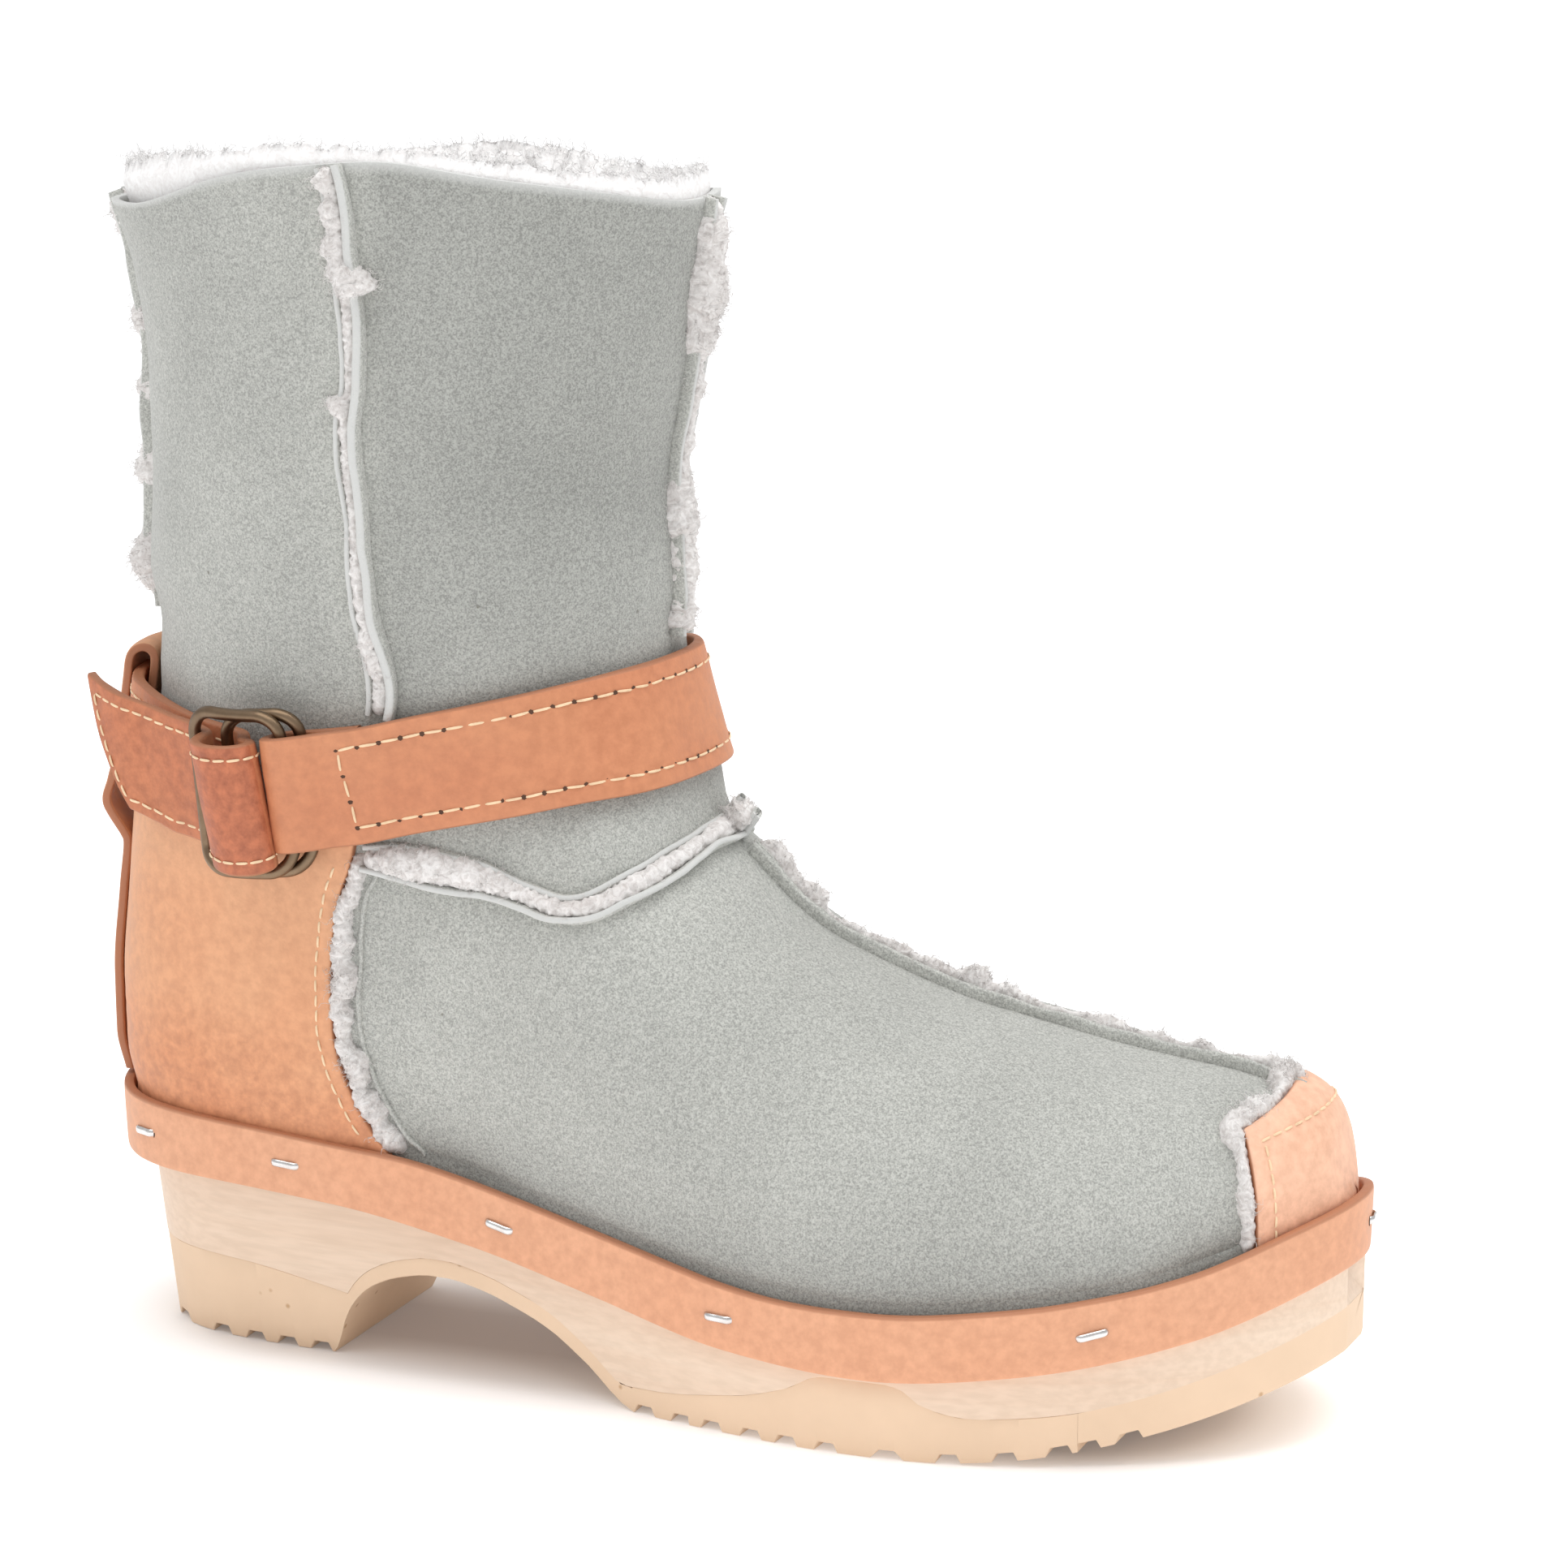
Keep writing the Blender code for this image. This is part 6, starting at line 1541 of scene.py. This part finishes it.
def stitchRow(path, out, pitch, holes=False):
    # a grain: rings of six points along u from -1 to 1, their middle raised by r (0.6 - 0.9 u^4)
    run = np.r_[0, np.cumsum(np.linalg.norm(np.diff(path, axis=0), axis=1))]
    count = int(run[-1] / pitch)
    middle = (np.arange(count) + 0.5) * run[-1] / count

    def read(values, at):
        return np.stack([np.interp(at, run, column) for column in values.T], -1)

    centre, along = read(path, middle), unit(read(path, middle + 0.0004) - read(path, middle - 0.0004))
    up = read(out, middle)
    up = unit(up - along * (up * along).sum(-1, keepdims=True))
    side = np.cross(up, along)
    along = unit(along + side * rng.normal(0, threadSet["tilt"], (count, 1)))
    u = np.array([-1, -0.9, -0.6, 0, 0.6, 0.9, 1])
    width = threadSet["radius"] * np.array([0.3, 0.7, 0.95, 1, 0.95, 0.7, 0.3])
    rise = threadSet["radius"] * (0.6 - 0.9 * u**4)
    turn = np.arange(6) * math.pi / 3
    reach = (u * pitch * threadSet["share"] / 2)[:, None] + 0 * turn
    acrossGrain, height = width[:, None] * np.cos(turn), rise[:, None] + 0.8 * width[:, None] * np.sin(turn)
    grid = centre[:, None, None] + sum(
        axis[:, None, None] * amount[..., None] for axis, amount in ((along, reach), (side, acrossGrain), (up, height))
    )
    size, ring = len(u) * 6, np.arange(6)
    start = (np.arange(count) * size)[:, None, None]
    walls = (gridFaces(len(u), 6, True)[None, :, ::-1] + start).reshape(-1, 4)
    caps = (np.stack([ring, size - 6 + ring[::-1]])[None] + start).reshape(-1, 6)
    threadParts.append((grid, [walls, caps]))
    # the holes' painted shade: a dark disc at each
    if holes:
        between = np.r_[0, middle + run[-1] / count / 2]
        spot, up = read(path, between), unit(read(out, between))
        first = unit(np.cross(up, read(path, np.r_[0, middle] + 0.0004) - read(path, np.r_[0, middle] - 0.0004)))
        second = np.cross(up, first)
        rim = spot[:, None] + threadSet["hole"] * (
            first[:, None] * np.cos(turn)[None, :, None] + second[:, None] * np.sin(turn)[None, :, None]
        )
        dots = np.concatenate([rim, (spot + up * 0.00006)[:, None], (spot - up * 0.0003)[:, None]], 1)
        start = (np.arange(len(spot)) * 8)[:, None, None, None]
        holeShadeParts.append((dots, (np.stack([fan(6, ring), fan(7, ring)[:, ::-1]])[None] + start).reshape(-1, 3)))


def onStrap(at, share, face):
    # places along the strap on its grain side (1) or its flesh side (-1), and the way out of it
    at, share = np.broadcast_arrays(at, share)
    middle = strapPlace(at, share, 0.0 * share)
    grid = strapPlace(at, share, face * strapThick / 2 + 0.0 * share)
    return grid, unit(grid - middle)


turnBack = int(np.argmax(route[:, 0]))
folded = int(np.argmin(route[:200, 0]))
boxStart, boxEnd = (folded + int(np.argmax(route[folded:, 0] > along)) for along in (0.0115, 0.1250))
tailStitch = len(route) - 1 - int(0.0026 / np.linalg.norm(route[-1] - route[-2]))
for share in (-0.345, 0.345):
    stitchRow(*onStrap(np.arange(boxStart + 7 * (share < 0), boxEnd), share, 1), 0.0042, True)
    stitchRow(*onStrap(np.arange(boxEnd, turnBack - 30), share * 1.08, 1), 0.0032)
    stitchRow(*onStrap(np.arange(turnBack - 6, tailStitch), share * 1.14, -1), 0.0031)
stitchRow(*onStrap(boxStart + np.arange(8), np.linspace(0.345, -0.345, 8), 1), 0.0042, True)
stitchRow(*onStrap(tailStitch, np.linspace(-0.393, 0.393, 60), -1), 0.0031)
for side in (-1, 1):
    z = np.linspace(0.0495, 0.1060, 160)
    line = sidePoint(smooth(counterSet["front"], "x", z) - 0.0032, z, side)
    out = skinOut(line)
    face = 0.0007 * softNoise(line, 0.030, 63) + gap + counterSet["thick"]
    stitchRow(line + out * face[:, None], out, 0.0030)
tabRows, tabColumns = np.linspace(0.1, 0.87, 60), np.linspace(0.065, 0.935, 160)
line = np.vstack([
    tabGrid(tabRows, tabColumns[:1])[:, 0], tabGrid(tabRows[-1:], tabColumns)[0],
    tabGrid(tabRows[::-1], tabColumns[-1:])[:, 0],
])
out = skinOut(line)
stitchRow(line + out * (0.0004 * softNoise(line, 0.02, 81) + gap + tabSet["thick"])[:, None], out, 0.0027)
points, faces = joined(threadParts)
makePiece("stitches", points, faces, thread[0], (), None, 60)
# painted shade at the stitch holes, as one piece
points, faces = joined(holeShadeParts)
makePiece("stitch_hole_shade", points, faces, paintedHoleShade[0])
print("stitches made")

# Loose wool: curled strands out of the rim and the seams
woolSet = {"rim": (5200, 0.0030, 0.00009), "seams": (6000, 0.0021, 0.00008)}


def looseWool(name, seeds, finish, count, size, thick):
    # a strand: direction * length u plus a turning wave that widens with u, thinner to its tip
    places, ways, weights = (np.concatenate(part) for part in zip(*seeds))
    pick = rng.choice(len(places), count, p=weights / weights.sum())
    way = unit(unit(ways[pick]) + rng.normal(0, 0.65, (count, 3)))
    first = unit(np.cross(way, rng.normal(size=(count, 3))))
    second = np.cross(way, first)
    u = np.linspace(-0.12, 1, 6)[None]
    long = size * rng.uniform(0.45, 1.25, (count, 1))
    wave, phase = rng.uniform(4.0, 8.5, (count, 1)), rng.uniform(0, 6.28, (count, 1))
    off = 0.34 * long * np.sqrt(np.clip(u, 0, 1))
    line = places[pick][:, None] + way[:, None] * (long * u)[..., None]
    line = line + first[:, None] * (off * np.cos(wave * u + phase))[..., None]
    line = line + second[:, None] * (off * np.sin(wave * u + phase))[..., None]
    turn = np.arange(3) * 2 * math.pi / 3
    radius = (thick * (1 - 0.65 * np.clip(u, 0, 1)))[..., None]
    grid = line[:, :, None] + first[:, None, None] * (radius * np.cos(turn))[..., None]
    grid = grid + second[:, None, None] * (radius * np.sin(turn))[..., None]
    start = (np.arange(count) * 18)[:, None, None]
    walls = (gridFaces(6, 3, True)[None, :, ::-1] + start).reshape(-1, 4)
    ring = np.arange(3)
    caps = (np.stack([ring, 15 + ring[::-1]])[None] + start).reshape(-1, 3)
    makePiece(name, grid, [walls, caps], finish[0], (), None, 180)


looseWool("rim_wool", hairSeeds["rim"], fleece, *woolSet["rim"])
# seam wool in the darker fleece copy, with its painted shade
looseWool("seam_wool", hairSeeds["seams"], shadedFleece, *woolSet["seams"])
print("loose wool made")


# Stage: pale floor, soft studio light and the camera
# painted floor light: under is the painted shadow's colour beneath the boot, open the floor's own colour, glow the
# range of the painted glow
floorSet = {
    "half": 40, "drop": -0.0001, "heel": -0.085, "toe": 0.080, "paintedGlow": (0.028, 0.062, 0.10, 0.50),
    "paintedShade": (0.010, 0.036), "under": (0.45, 0.37, 0.32, 1), "open": (0.88, 0.88, 0.885, 1),
}
floorMaterial = bpy.data.materials.new("paleFloor")
floorMaterial.use_nodes = True
tree = floorMaterial.node_tree
# painted light and shadow: the floor glows outside a soft oval round the boot, so that the shadow at the sole stays,
# and inside the oval its colour darkens to a painted shadow under the boot; the distance to a line from heel to toe
# sets both the glow and the painted shadow
place = nodeIn(tree, "ShaderNodeSeparateXYZ", {"Vector": nodeIn(tree, "ShaderNodeTexCoord").outputs["Object"]})
nearest = maths(tree, "MINIMUM", maths(tree, "MAXIMUM", place.outputs["X"], floorSet["heel"]), floorSet["toe"])
along = maths(tree, "SUBTRACT", place.outputs["X"], nearest)
squares = (maths(tree, "MULTIPLY", value, value) for value in (along, place.outputs["Y"]))
apart = maths(tree, "SQRT", maths(tree, "ADD", *squares))
paintedGlow = ramp(tree, apart, *floorSet["paintedGlow"])
paintedFloorShadow = mixed(tree, ramp(tree, apart, *floorSet["paintedShade"]), floorSet["under"], floorSet["open"])
principled = tree.nodes["Principled BSDF"]
tree.links.new(mixed(tree, paintedGlow, (0, 0, 0, 1), (1, 1, 1, 1)), principled.inputs["Emission Color"])
tree.links.new(paintedFloorShadow, principled.inputs["Base Color"])
principled.inputs["Roughness"].default_value = 0.9
principled.inputs["Emission Strength"].default_value = 1.0
floorMesh = bpy.data.meshes.new("floor")
floorCorners = np.array([(-1.0, -1.0), (1.0, -1.0), (1.0, 1.0), (-1.0, 1.0)]) * floorSet["half"]
floorMesh.from_pydata([(*corner, floorSet["drop"]) for corner in floorCorners], [], [(0, 1, 2, 3)])
floorMesh.materials.append(floorMaterial)
floor = bpy.data.objects.new("floor", floorMesh)
bpy.context.scene.collection.objects.link(floor)

world = bpy.data.worlds.new("studio")
bpy.context.scene.world = world
world.use_nodes = True
sky = world.node_tree.nodes["Background"]
sky.inputs[0].default_value, sky.inputs[1].default_value = (1.0, 1.0, 1.0, 1), 0.68


def aim(thing, place, target):
    # a lamp or camera at its place, turned to a target
    thing.location = place
    thing.rotation_euler = (Vector(target) - Vector(place)).to_track_quat("-Z", "Y").to_euler()
    bpy.context.scene.collection.objects.link(thing)


lights = {  # place, target, size and power
    "keyLight": ((-0.25, -0.55, 1.5), (0, 0, 0.08), 1.1, 7.5),
    "topLight": ((0.5, 0.20, 1.5), (0, 0, 0.08), 1.0, 9.5),
}
for name, (place, target, size, power) in lights.items():
    data = bpy.data.lights.new(name, "AREA")
    data.size, data.energy = size, power
    aim(bpy.data.objects.new(name, data), place, target)

cameraSet = {"place": (0.4258, -1.04285, 0.3754), "target": (0.014354, 0.000554, 0.12124), "lens": 132.97}
cameraData = bpy.data.cameras.new("camera")
cameraData.lens, cameraData.sensor_width = cameraSet["lens"], 36
camera = bpy.data.objects.new("camera", cameraData)
aim(camera, cameraSet["place"], cameraSet["target"])
bpy.context.scene.camera = camera
bpy.context.scene.view_settings.view_transform = "Standard"
